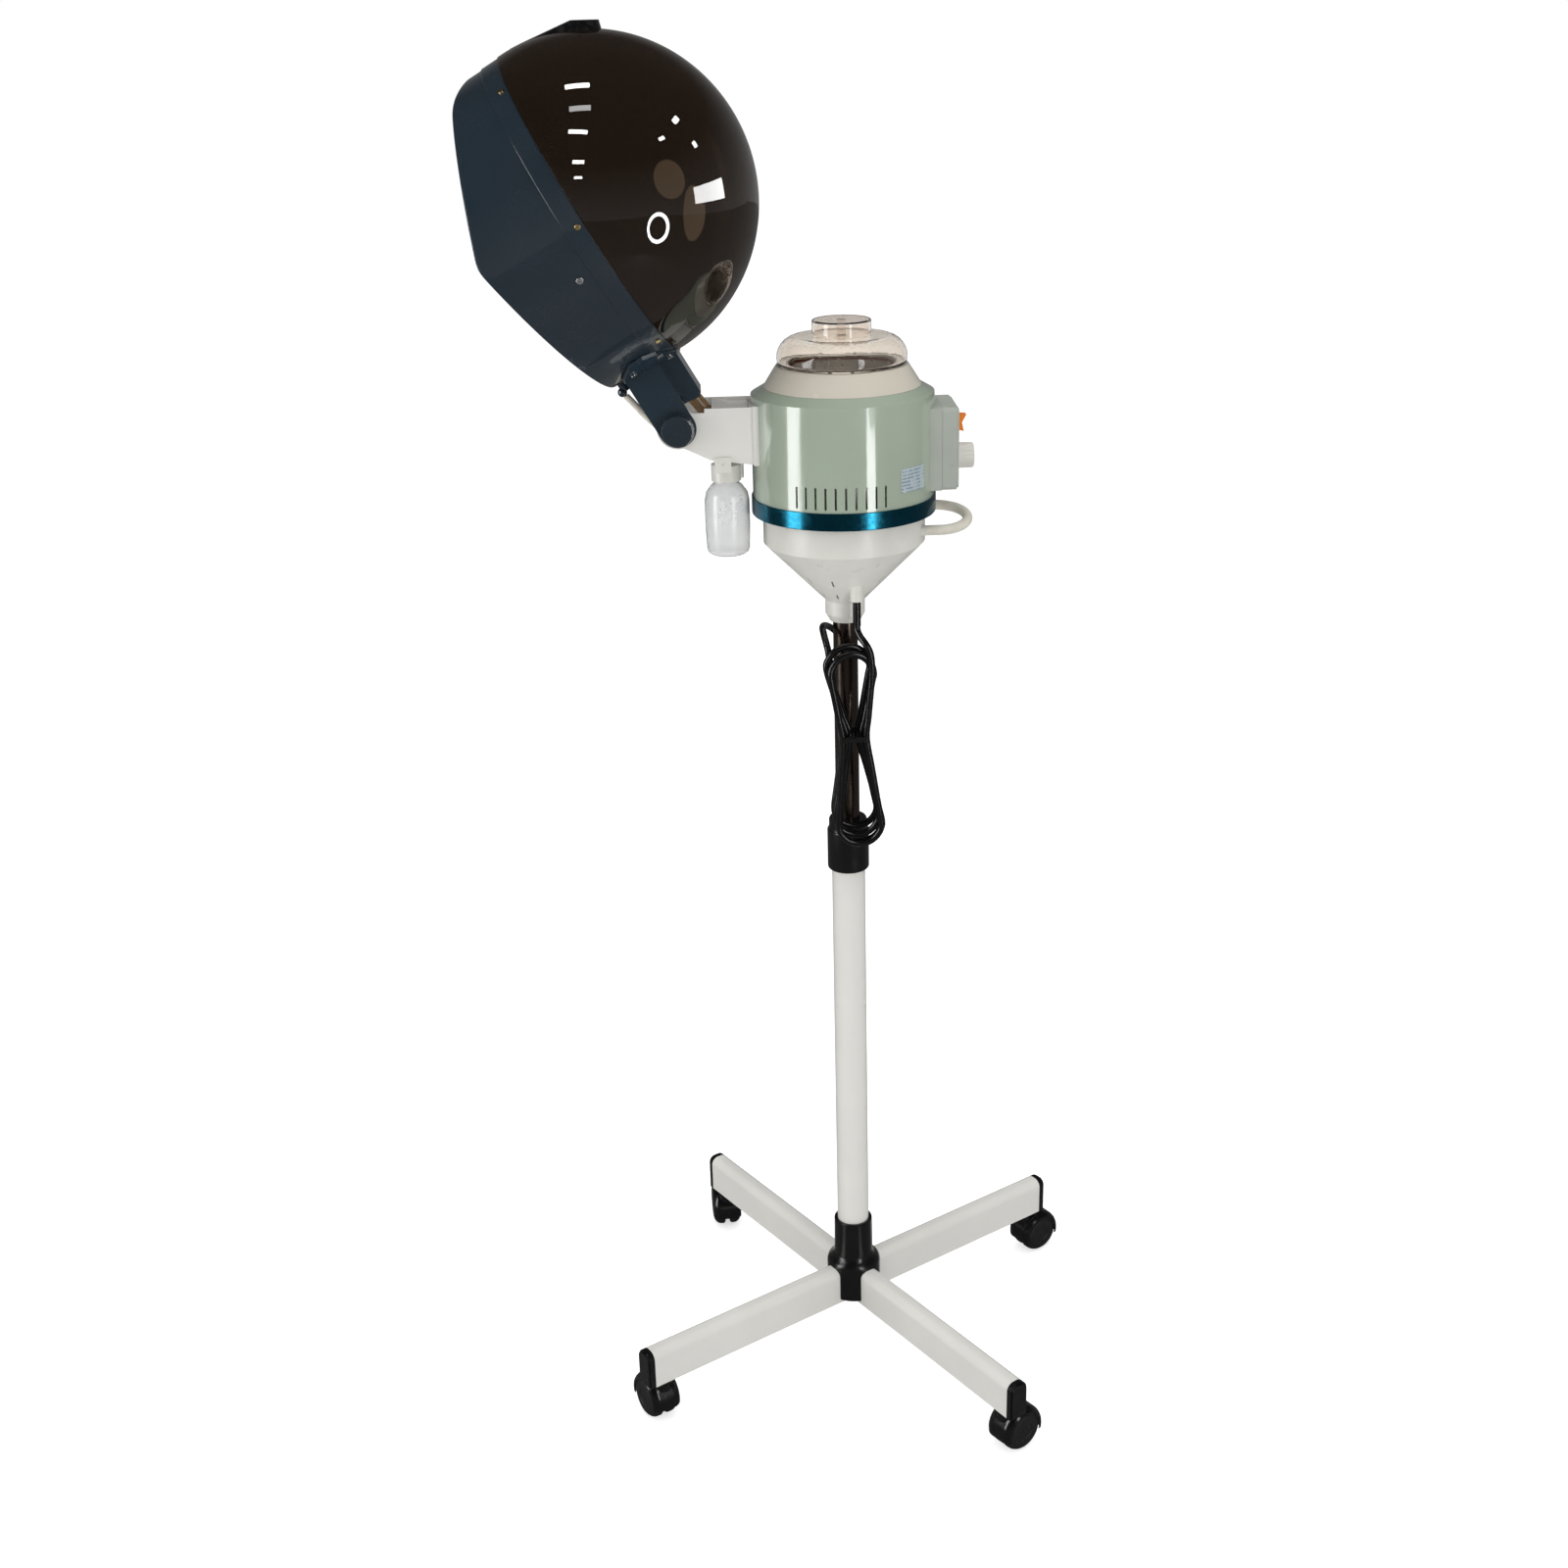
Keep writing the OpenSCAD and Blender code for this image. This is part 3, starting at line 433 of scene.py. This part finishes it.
def make_materials():
    """One look for each of the record's slots, and box_plastic for the control box."""
    looks = {
        "white_enamel": enamel("white_enamel", (0.80, 0.79, 0.75)),
        "sage_enamel": enamel("sage_enamel", (0.375, 0.44, 0.352), 0.17, coat=1.0),
        "cream_enamel": enamel("cream_enamel", (0.64, 0.60, 0.51), 0.22),
        "blue_metal": metal("blue_metal", (0.013, 0.13, 0.2), 0.2, grain=0.000004),
        "bronze_tube": metal("bronze_tube", (0.11, 0.085, 0.07), 0.24, (1, 1, 0.05)),
        "steel_zinc": metal("steel_zinc", (0.62, 0.62, 0.63), 0.3),
        "stainless": metal("stainless", (0.8, 0.78, 0.74), 0.35, shine=0.55),
        "brass": metal("brass", (0.78, 0.58, 0.26), 0.24),
        "heater_sheath": metal("heater_sheath", (0.3, 0.27, 0.25), 0.45, amount=0.25),
        "black_plastic": moulded("black_plastic", (0.004, 0.004, 0.0042), 0.22),
        "grey_nylon": moulded("grey_nylon", (0.05, 0.05, 0.05), 0.5),
        "tread": moulded("tread", (0.009, 0.009, 0.009), 0.55, 0.00006),
        "white_plastic": moulded("white_plastic", (0.72, 0.71, 0.66), 0.35, amount=0.03),
        "orange_plastic": moulded("orange_plastic", (0.85, 0.22, 0.01), 0.3),
        "knob_plastic": acrylic("knob_plastic", (0.86, 0.8, 0.74)),
        "smoke_plastic": acrylic("smoke_plastic", (0.88, 0.83, 0.77)),
        "clear_plastic": acrylic("clear_plastic", (0.97, 0.98, 0.975), 0.22, 0.72),
        "label_foil": moulded("label_foil", (0.46, 0.53, 0.56), 0.4, amount=0.05),
        "box_plastic": moulded("box_plastic", (0.42, 0.45, 0.40), 0.35, amount=0.03),
        "hose_white": soft_rubber("hose_white", (0.72, 0.69, 0.6), 0.4, Subsurface_Weight=0.15,
                                  Subsurface_Scale=0.004),
        "amber_silicone": soft_rubber("amber_silicone", (0.27, 0.165, 0.075), 0.25,
                                      Transmission_Weight=0.3),
        "red_silicone": soft_rubber("red_silicone", (0.4, 0.05, 0.03)),
        "cable_black": soft_rubber("cable_black", (0.003, 0.003, 0.003), 0.22),
        "slate_metal": enamel("slate_metal", (0.014, 0.03, 0.045), 0.25, coat=0.8),
        "slate_plastic": slate_plastic(),
        "smoke_dome": acrylic("smoke_dome", (0.045, 0.027, 0.015), 0.015, 0.8, coat=0.6),
    }
    looks["black_plastic"].worn((0.03, 0.03, 0.03), 0.4)
    looks["tread"].specks(0.003, 0.5, (0.12, 0.11, 0.1))
    print_lines(looks["label_foil"], 3.3 * MM, (0.12, 0.2, 0.27))
    return {name: look.material for name, look in looks.items()}


MATERIALS = make_materials()


def dress(piece, node, slot, material=None):
    """Gives the piece its look, the node's body and a slot."""
    piece.data.materials.clear()
    piece.data.materials.append(material or MATERIALS[slot])
    weigh_normals(piece)
    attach(piece, BODY_OF[node])
    return piece


def stand_for(piece, *nodes, material=None):
    """The piece rides on the first node's body, takes its finish and replaces the nodes."""
    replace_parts(piece, *nodes)
    return dress(piece, nodes[0], SLOT_OF[nodes[0]], material)


def softened(node, width, segments=2, look=None):
    """A copy of a CAD node with its edges rounded, which stands for it; width 0 rounds none."""
    mesh = NODES[node].data.copy()
    piece = bpy.data.objects.new(node + "_finish", mesh)
    bpy.context.scene.collection.objects.link(piece)

    def merge(bm):
        clean(bm, CAD_NEAR)
        bmesh.ops.dissolve_limit(bm, angle_limit=math.radians(FLAT), verts=bm.verts,
                                 edges=bm.edges, delimit={"NORMAL"})

    if width:
        edit(piece, merge)
    shade(piece, CAD_SHARP)
    if width:
        soften(piece, width, segments)
    return stand_for(piece, node, material=look and MATERIALS[look])


# ---------------------------------------------------------------- cord

CORD_D = 7 * MM
CORD_STEPS, CORD_SIDES = 4, 14
# The way from the exit to the first turn, and from the last turn to the plug
LEAD = [
    (9, -36, 887), (9, -36, 872), (9, -36, 861), (9.5, -37, 856), (12, -41, 851),
    (16, -45.5, 846), (20, -48, 839), (22, -48.5, 830),
]
TAIL = [
    (-19, -27.5, 830), (-20.5, -24, 838), (-22, -18, 844), (-23, -9, 848), (-23, 1, 849.5),
    (-21, 11, 848.5), (-17, 21, 845), (-11, 30, 839), (-5, 37, 831), (-1, 41, 821), (0, 42, 810),
]
# The hank's turns lie one behind the other in Y. Their bends at top and bottom turn about
# these places in X and Z, and their sides come near each other at the waist
HANK_FRONT, HANK_PITCH = -48.5, 7
HANK_TOP, HANK_BOTTOM, HANK_WAIST = (1.5, 822), (9, 654), (4.5, 747)
HANK_R, BEND_STEPS = 21.8, 6
WAIST_HALF = 12
# How each turn strays: its top and bottom bends in X and Z, and how far its sides close up
HANK_STRAY = [(0, 0, 0, 0, 0), (1.5, -9, -2.5, 7, 4.5), (-2, -3, 2, -3, 8), (2, -14, -3, 11, 2.5)]


def hank_route():
    """Turns of the hank: down the right side, round the bottom, up the left, over the top."""
    route = []

    def side(start, end, y, shares):
        for share in shares:
            route.append((start[0] + (end[0] - start[0]) * share, y,
                          start[1] + (end[1] - start[1]) * share))

    for turn, (top_x, top_z, low_x, low_z, close) in enumerate(HANK_STRAY):
        y = HANK_FRONT + HANK_PITCH * turn
        top = (HANK_TOP[0] + top_x, HANK_TOP[1] + top_z)
        low = (HANK_BOTTOM[0] + low_x, HANK_BOTTOM[1] + low_z)
        half = WAIST_HALF - close
        right, left = ((HANK_WAIST[0] + way * half, HANK_WAIST[1]) for way in (1, -1))
        if turn:
            over = arc(*top, HANK_R, 180, 0, BEND_STEPS)
            route += [(x, y - HANK_PITCH + HANK_PITCH * i / BEND_STEPS, z)
                      for i, (x, z) in enumerate(over)]
        side((top[0] + HANK_R, top[1]), right, y, (0.12, 0.4, 0.7, 1))
        side(right, (low[0] + HANK_R, low[1]), y, (0.35, 0.7))
        route += [(x, y, z) for x, z in arc(*low, HANK_R, 0, -180, BEND_STEPS)]
        side((low[0] - HANK_R, low[1]), left, y, (0.3, 0.65, 1))
        after = HANK_STRAY[min(turn + 1, len(HANK_STRAY) - 1)]
        next_top = (HANK_TOP[0] + after[0] - HANK_R, HANK_TOP[1] + after[1])
        side(left, next_top, y, (0.3, 0.6))
    return route


cord_path = smooth_path([Vector(p) * MM for p in LEAD + hank_route() + TAIL], CORD_STEPS)
cord = tube("mains_cord", cord_path, CORD_D / 2, CORD_SIDES)
stand_for(cord, "cord_lead", "cord_hank", "cord_tail")
plug = softened("mains_plug", 1.2 * MM, 3)
tie = softened("cord_tie", 0.6 * MM)


# ---------------------------------------------------------------- hood

hinge = Vector(JOINTS["hood_tilt"]["pos_m"])
HOOD_LEAN = 60
HOOD_FROM_HINGE = Vector((-213, 0, 40)) * MM
# The hood's own frame: the dome's rim lies in its XY plane and the crown on its Z
HOOD = (Matrix.Translation(hinge) @ Matrix.Rotation(math.radians(HOOD_LEAN), 4, "Y")
        @ Matrix.Translation(HOOD_FROM_HINGE))
# The dome: a ball of DOME_R about a centre DOME_LIFT above its rim, which goes on a little past
# its widest ring, with a spigot that sits inside the skirt
DOME_R, DOME_WALL, DOME_LIFT = 153, 2.5, 4
DOME_STEPS, DOME_SEGMENTS, DOME_EDGE = 60, 160, 0.5
DOME_PAST, DOME_PAST_INSIDE = -1.4, -0.5
SPIGOT_DEEP, SPIGOT_HIGH, SPIGOT_WALL = 16, 2.5, 2.5
# The skirt: a band at its top stands out by BAND_STEP down to BAND_LOW, and its rim is rounded
SKIRT_R, SKIRT_WALL, BAND_STEP, BAND_LOW = 151, 2.5, 1, 18
LIP, RIM_ROUND, BAND_FOOT = 0.4, 0.35, 0.6
SKIRT_COLUMNS, OUTSIDE_ROWS, INSIDE_ROWS = 240, 12, 6
# The rim seen from the side, in the hood's X and Z: ends, and arcs with centre, radius, first
# and last angle, and steps
RIM_ENDS = [(-160, 0), (160, 69.3)]
RIM_ARCS = [(-120, -25.6, 32, 180, 249, 18), (-12.7, -79.8, 20, 249, 280, 6)]
# The rim's depth is a mean over this turn to either side, in radians
RIM_BLUR = 0.03
HOOD_SHARP = 50


def make_dome():
    inner = DOME_R - DOME_WALL
    spigot = SKIRT_R - SKIRT_WALL
    outside = arc(0, 0, DOME_R, 90, DOME_PAST, DOME_STEPS)
    inside = arc(0, 0, inner, DOME_PAST_INSIDE, 90, DOME_STEPS)
    outside, inside = ([(max(0, x), z + DOME_LIFT) for x, z in side] for side in (outside, inside))
    bore = spigot - SPIGOT_WALL
    sleeve = [(spigot, 0.1), (spigot, -SPIGOT_DEEP), (bore, -SPIGOT_DEEP), (bore, SPIGOT_HIGH)]
    outline = rounded(outside + sleeve + inside, DOME_EDGE)
    piece = turned("dome", HOOD, DOME_SEGMENTS, lambda angle: outline, HOOD_SHARP)
    return stand_for(piece, "hood_dome")


def rim_outline():
    """The rim as (x, depth below the dome's rim) pairs, in the order of x."""
    curves = [(x, -z) for one in RIM_ARCS for x, z in arc(*one)]
    return sorted(RIM_ENDS + curves)


def rim_depth(outline, x):
    """The rim's depth at a distance along the hood's X."""
    for (x0, d0), (x1, d1) in zip(outline, outline[1:]):
        if x0 <= x <= x1:
            return d0 + (d1 - d0) * (x - x0) / max(x1 - x0, 1e-9)
    raise ValueError("the rim has no depth at %s" % x)


def skirt_section(depth):
    """The skirt's closed section, (radius, height), where it is this deep."""
    outer, band, inner = SKIRT_R, SKIRT_R + BAND_STEP, SKIRT_R - SKIRT_WALL
    half, foot = SKIRT_WALL / 2, BAND_LOW + BAND_FOOT
    top = [(inner + 0.3, 0), (band - LIP, 0), (band, -LIP), (band, 0.5 - BAND_LOW),
           (band - 0.25, -BAND_LOW), (outer + 0.05, -BAND_LOW - 0.2), (outer, -foot)]
    outside = [(outer, -(foot + (depth - half - foot) * (i + 1) / OUTSIDE_ROWS))
               for i in range(OUTSIDE_ROWS)]
    rim = [(outer - RIM_ROUND, RIM_ROUND - depth), (outer - half, -depth),
           (inner + RIM_ROUND, RIM_ROUND - depth)]
    inside = [(inner, (half - depth) * (1 - i / INSIDE_ROWS)) for i in range(INSIDE_ROWS)]
    return top + outside + rim + inside + [(inner, -LIP)]


def make_skirt():
    outline = rim_outline()

    def section_at(angle):
        around = [rim_depth(outline, SKIRT_R * math.cos(angle + off))
                  for off in (-RIM_BLUR, 0, RIM_BLUR)]
        return skirt_section(sum(around) / 3)

    piece = turned("skirt", HOOD, SKIRT_COLUMNS, section_at, HOOD_SHARP)
    return stand_for(piece, "hood_skirt")


dome = make_dome()
make_skirt()


# ---------------------------------------------------------------- hoses across the hinge

HOSE_STEPS, HOSE_SIDES = 6, 24
# The steam hose runs from the outlet pipe up to the hood, in the XZ plane
HOSE_ROUTE = [
    (-104, 0, 1062), (-112, 0, 1062), (-121, 0, 1064), (-129, 0, 1069), (-136, 0, 1077),
    (-143.5, 0, 1086.5), (-151, 0, 1093), (-160, 0, 1099), (-168, 0, 1103.5), (-173, 0, 1108.7),
    (-175.96, 0, 1113.64),
]
# The condensate tube runs from the hood's elbow along the arm to the bottle's cap
CONDENSATE_ROUTE = [
    (-208.5, 0, 1089.2), (-200, 0, 1080), (-192, 0, 1070.8), (-183, 0, 1062),
    (-174, 0, 1054.5), (-164, 0, 1049.5), (-153, 0, 1047), (-141, 0, 1045.5),
    (-130, -1, 1044.5), (-119, -4, 1043), (-109, -7, 1040), (-102.5, -8, 1034), (-101, -8, 1026),
]


def crossing_hose(name, node, route, radius):
    """A hose between head and hood, a tube along its route across the hinge."""
    path = smooth_path([Vector(p) * MM for p in route], HOSE_STEPS)
    piece = tube(name, path, radius * MM, HOSE_SIDES)
    piece.data.materials.append(MATERIALS[SLOT_OF[node]])
    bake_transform(piece)
    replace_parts(piece, node)


crossing_hose("steam_hose_tube", "steam_hose", HOSE_ROUTE, 7)
crossing_hose("condensate_hose", "condensate_tube", CONDENSATE_ROUTE, 3.2)


# ---------------------------------------------------------------- everything else, edges rounded

# Widths of the rounded edges in millimetres; 0 leaves the CAD's faces as they are
EDGE = {
    "tilt_bracket": 1.2, "hub_screws": 0.4, "bracket_screws": 0.5, "hood_screws": 0.6,
    "base_hub": 0.8, "arm_end_caps": 1.2, "mains_plug": 1.2, "hinge_knob": 0.7,
    "control_box_cover": 0.8, "control_box": 0.6, "timer_knob": 0.4, "power_switch": 0.5,
    "dome_vent_cap": 1.5, "funnel_housing": 0, "body_shell": 0,
}
USUAL_EDGE = 0.4
OTHER_LOOK = {"control_box": "box_plastic", "control_box_cover": "box_plastic"}
made = {n for o in bpy.data.objects for n in o.get("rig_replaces", [])}
for node in sorted(NODES):
    if node not in made:
        softened(node, EDGE.get(node, USUAL_EDGE) * MM, look=OTHER_LOOK.get(node))


# ---------------------------------------------------------------- marks round the timer

BOX_FACE, TIMER_Z = 109.5, 1021
TICKS, TICK_FIRST, TICK_LAST = 11, -60, 240
TICK_FROM, TICK_TO, TICK_HALF, TICK_RISE = 15.6, 18.6, 0.35, 0.12
# Every so many ticks, one is thicker by this much
THICK_EVERY, THICKER = 5, 1.8
# Faces of a box whose corners come in two rings of four
BOX_FACES = [(3, 2, 1, 0), (4, 5, 6, 7), (0, 1, 5, 4), (1, 2, 6, 5), (2, 3, 7, 6), (3, 0, 4, 7)]


def make_ticks():
    """Printed ticks on the box's face, thicker at the dial's ends and middle."""
    verts, faces = [], []
    for k in range(TICKS):
        turn = math.radians(TICK_FIRST + (TICK_LAST - TICK_FIRST) * k / (TICKS - 1))
        half = TICK_HALF * (1 if k % THICK_EVERY else THICKER)
        out = Vector((0, math.cos(turn), math.sin(turn)))
        side = Vector((0, -out.z, out.y)) * half
        at = Vector((BOX_FACE, 0, TIMER_Z))
        first = len(verts)
        for x in (-TICK_RISE, TICK_RISE):
            for r, way in ((TICK_FROM, -1), (TICK_TO, -1), (TICK_TO, 1), (TICK_FROM, 1)):
                verts.append((at + Vector((x, 0, 0)) + out * r + side * way) * MM)
        faces += [tuple(first + i for i in face) for face in BOX_FACES]
    return dress(new_piece("timer_ticks", verts, faces), "control_box_cover", "black_plastic")


make_ticks()


# ---------------------------------------------------------------- stage and light

# A light whose aim rises or dips by more than this share of its length takes its level from X
STEEP = 0.9
COOL, WARM = (1, 1, 1), (1, 0.68, 0.4)
WHITE = (1, 1, 1, 1)
# The floor's reach, its extra glow for the camera, and its tone where gloss mirrors it
FLOOR_REACH, FLOOR_GLOW, FLOOR_IN_GLOSS = 12, 0.6, 0.15


def make_stage():
    """A pale floor that glows a little for the camera and is dark where gloss mirrors it."""
    look = Look("stage_floor", (0.9, 0.9, 0.9), 0.6)
    look.tone(0.8, 0.01)
    rays = look.node("LightPath").outputs
    seen = look.math("MAXIMUM", rays["Is Camera Ray"], rays["Is Transmission Ray"])
    look.set("Emission Color", WHITE)
    look.tree.links.new(look.math("MULTIPLY", seen, FLOOR_GLOW),
                        look.shader.inputs["Emission Strength"])
    dark = look.node("BsdfDiffuse", {"Color": (FLOOR_IN_GLOSS, FLOOR_IN_GLOSS, FLOOR_IN_GLOSS, 1)})
    # A transmitted ray counts as glossy too, so it is taken off
    mirrored = look.math("SUBTRACT", rays["Is Glossy Ray"], rays["Is Transmission Ray"])
    both = look.node("MixShader", {0: mirrored, 1: look.shader.outputs[0], 2: dark.outputs[0]})
    look.tree.links.new(both.outputs[0], look.tree.nodes["Material Output"].inputs["Surface"])
    r = FLOOR_REACH
    floor = new_piece("floor", [(-r, -r, 0), (r, -r, 0), (r, r, 0), (-r, r, 0)], [(0, 1, 2, 3)])
    floor.data.materials.append(look.material)


def facing(place, aim):
    """A turn that points -Z from the place at the aim, with X as level as it goes."""
    ahead = (Vector(aim) - Vector(place)).normalized()
    if abs(ahead.z) < STEEP:
        return ahead.to_track_quat("-Z", "Y").to_matrix()
    across = (Vector((1, 0, 0)) - ahead * ahead.x).normalized()
    return Matrix((across, across.cross(ahead), -ahead)).transposed()


def area_light(name, place, aim, width, height, watts, lights, only=None, color=COOL):
    """A soft light, which reaches matt or gloss, and some pieces or all of them.

    A cool one is a rectangle and a warm one is round.
    """
    data = bpy.data.lights.new(name, "AREA")
    data.shape = "RECTANGLE" if color == COOL else "ELLIPSE"
    data.size, data.size_y = width, height
    data.energy = watts
    data.color = color
    light = bpy.data.objects.new(name, data)
    light.location = place
    light.rotation_euler = facing(place, aim).to_euler()
    bpy.context.scene.collection.objects.link(light)
    return set_reach(light, lights, only)


def set_reach(light, lights, only=None):
    """Hides the light from the camera, from matt or glossy surfaces, and from other pieces."""
    light.visible_camera = False
    light.visible_transmission = False
    light.visible_diffuse = lights != "gloss"
    light.visible_glossy = lights != "matt"
    if only:
        group = bpy.data.collections.new(light.name + "_reach")
        for piece in only:
            group.objects.link(piece)
        light.light_linking.receiver_collection = group
    return light


def ring_light(place, aim, outer, inner, strength, only):
    """A ring lamp, which shows in the dome's gloss."""
    spot = Matrix.Translation(place) @ facing(place, aim).to_4x4()
    steps = 64
    flat = [point for r in (outer, inner) for point in arc(0, 0, r, 0, 360, steps)]
    verts = [spot @ Vector((x, y, 0)) for x, y in flat]
    faces = [(i, i + 1, steps + 2 + i, steps + 1 + i) for i in range(steps)]
    ring = new_piece("ring_lamp", verts, faces)
    look = Look("ring_lamp_glow", (0, 0, 0), 1.0)
    look.set("Emission Color", WHITE)
    look.set("Emission Strength", strength)
    ring.data.materials.append(look.material)
    ring.visible_shadow = False
    ring.visible_volume_scatter = False
    return set_reach(ring, "gloss", only)


# The room's glow: what the camera sees of it, what lights matt surfaces, and what shows in
# gloss, which goes from HORIZON at the horizon to OVERHEAD above ROOM_TOP
ROOM_SEEN, ROOM_FILL, HORIZON, OVERHEAD = 1.0, 0.62, 0.2, 0.03
ROOM_BOTTOM, ROOM_TOP = -0.05, 0.5


def make_world():
    """A pale room, whose glow depends on the kind of ray that meets it."""
    world = bpy.data.worlds.new("studio")
    world.use_nodes = True
    tree = world.node_tree
    tree.nodes.clear()

    def node(kind, **inputs):
        made = tree.nodes.new("ShaderNode" + kind)
        for key, value in inputs.items():
            socket = made.inputs[key.replace("_", " ")]
            if isinstance(value, bpy.types.NodeSocket):
                tree.links.new(value, socket)
            else:
                socket.default_value = value
        return made

    rays = node("LightPath").outputs
    height = node("SeparateXYZ", Vector=node("TexCoord").outputs["Generated"]).outputs["Z"]
    strength = ROOM_FILL
    gloss = node("MapRange", Value=height, From_Min=ROOM_BOTTOM, From_Max=ROOM_TOP,
                 To_Min=HORIZON, To_Max=OVERHEAD).outputs["Result"]
    for ray, glow in (("Glossy", gloss), ("Camera", ROOM_SEEN), ("Transmission", ROOM_SEEN)):
        strength = node("Mix", Factor=rays["Is %s Ray" % ray], A=strength, B=glow).outputs["Result"]
    glow = node("Background", Color=WHITE, Strength=strength).outputs["Background"]
    node("OutputWorld", Surface=glow)
    bpy.context.scene.world = world


make_stage()
make_world()
others = [o for o in bpy.data.objects if o.type == "MESH" and o is not dome]
# Each gloss strip hangs a little nearer than its matt softbox, which would hide it otherwise
area_light("softbox_left", (-2.4, -1.0, 1.3), (0, 0, 1.0), 0.9, 2.2, 16, "matt")
area_light("softbox_right", (1.1, -1.9, 1.1), (0, 0, 0.9), 0.35, 2.0, 9, "matt")
area_light("top", (0.2, -0.3, 3.2), (0, 0, 0.6), 2.4, 2.4, 22, "matt")
area_light("strip_left", (-2.2, -0.92, 1.28), (0, 0, 1.0), 0.8, 2.1, 36, "gloss", others)
area_light("strip_right", (1.0, -1.73, 1.08), (0, 0, 0.9), 0.32, 1.9, 15, "gloss", others)

# Lamps of the room that show in the dome: place, width, height, radiance, colour
DOME_SPOT = (-0.233, -0.125, 1.34)  # where on the dome they show, and what they point at
ROOM_LAMPS = [
    ((-0.38, -0.16, 2.97), 0.36, 0.11, 30, COOL), ((-0.35, -0.67, 2.86), 0.36, 0.12, 6, COOL),
    ((-0.40, -1.09, 2.61), 0.34, 0.08, 28, COOL), ((-0.42, -1.48, 2.17), 0.22, 0.07, 26, COOL),
    ((-0.44, -1.62, 1.91), 0.16, 0.05, 20, COOL), ((1.03, -0.09, 2.43), 0.16, 0.08, 28, COOL),
    ((0.97, -0.64, 2.34), 0.13, 0.06, 22, COOL), ((1.28, -0.08, 2.07), 0.09, 0.09, 22, COOL),
    ((1.05, -0.12, 1.37), 0.62, 0.20, 11, COOL), ((0.62, -0.62, 1.56), 0.42, 0.42, 0.5, WARM),
    ((0.86, -0.40, 1.18), 0.36, 0.60, 0.5, WARM), ((0.62, -0.62, 1.56), 0.14, 0.14, 1.2, WARM),
]
for number, (place, width, height, radiance, color) in enumerate(ROOM_LAMPS):
    watts = radiance * math.pi * width * height
    area_light("room_lamp_%d" % number, place, DOME_SPOT, width, height, watts, "gloss", [dome],
               color)
ring_light((0.46, -0.76, 1.07), (-0.41, -0.61, 1.25), 0.165, 0.124, 22, [dome])
bpy.context.scene.view_settings.view_transform = "Standard"
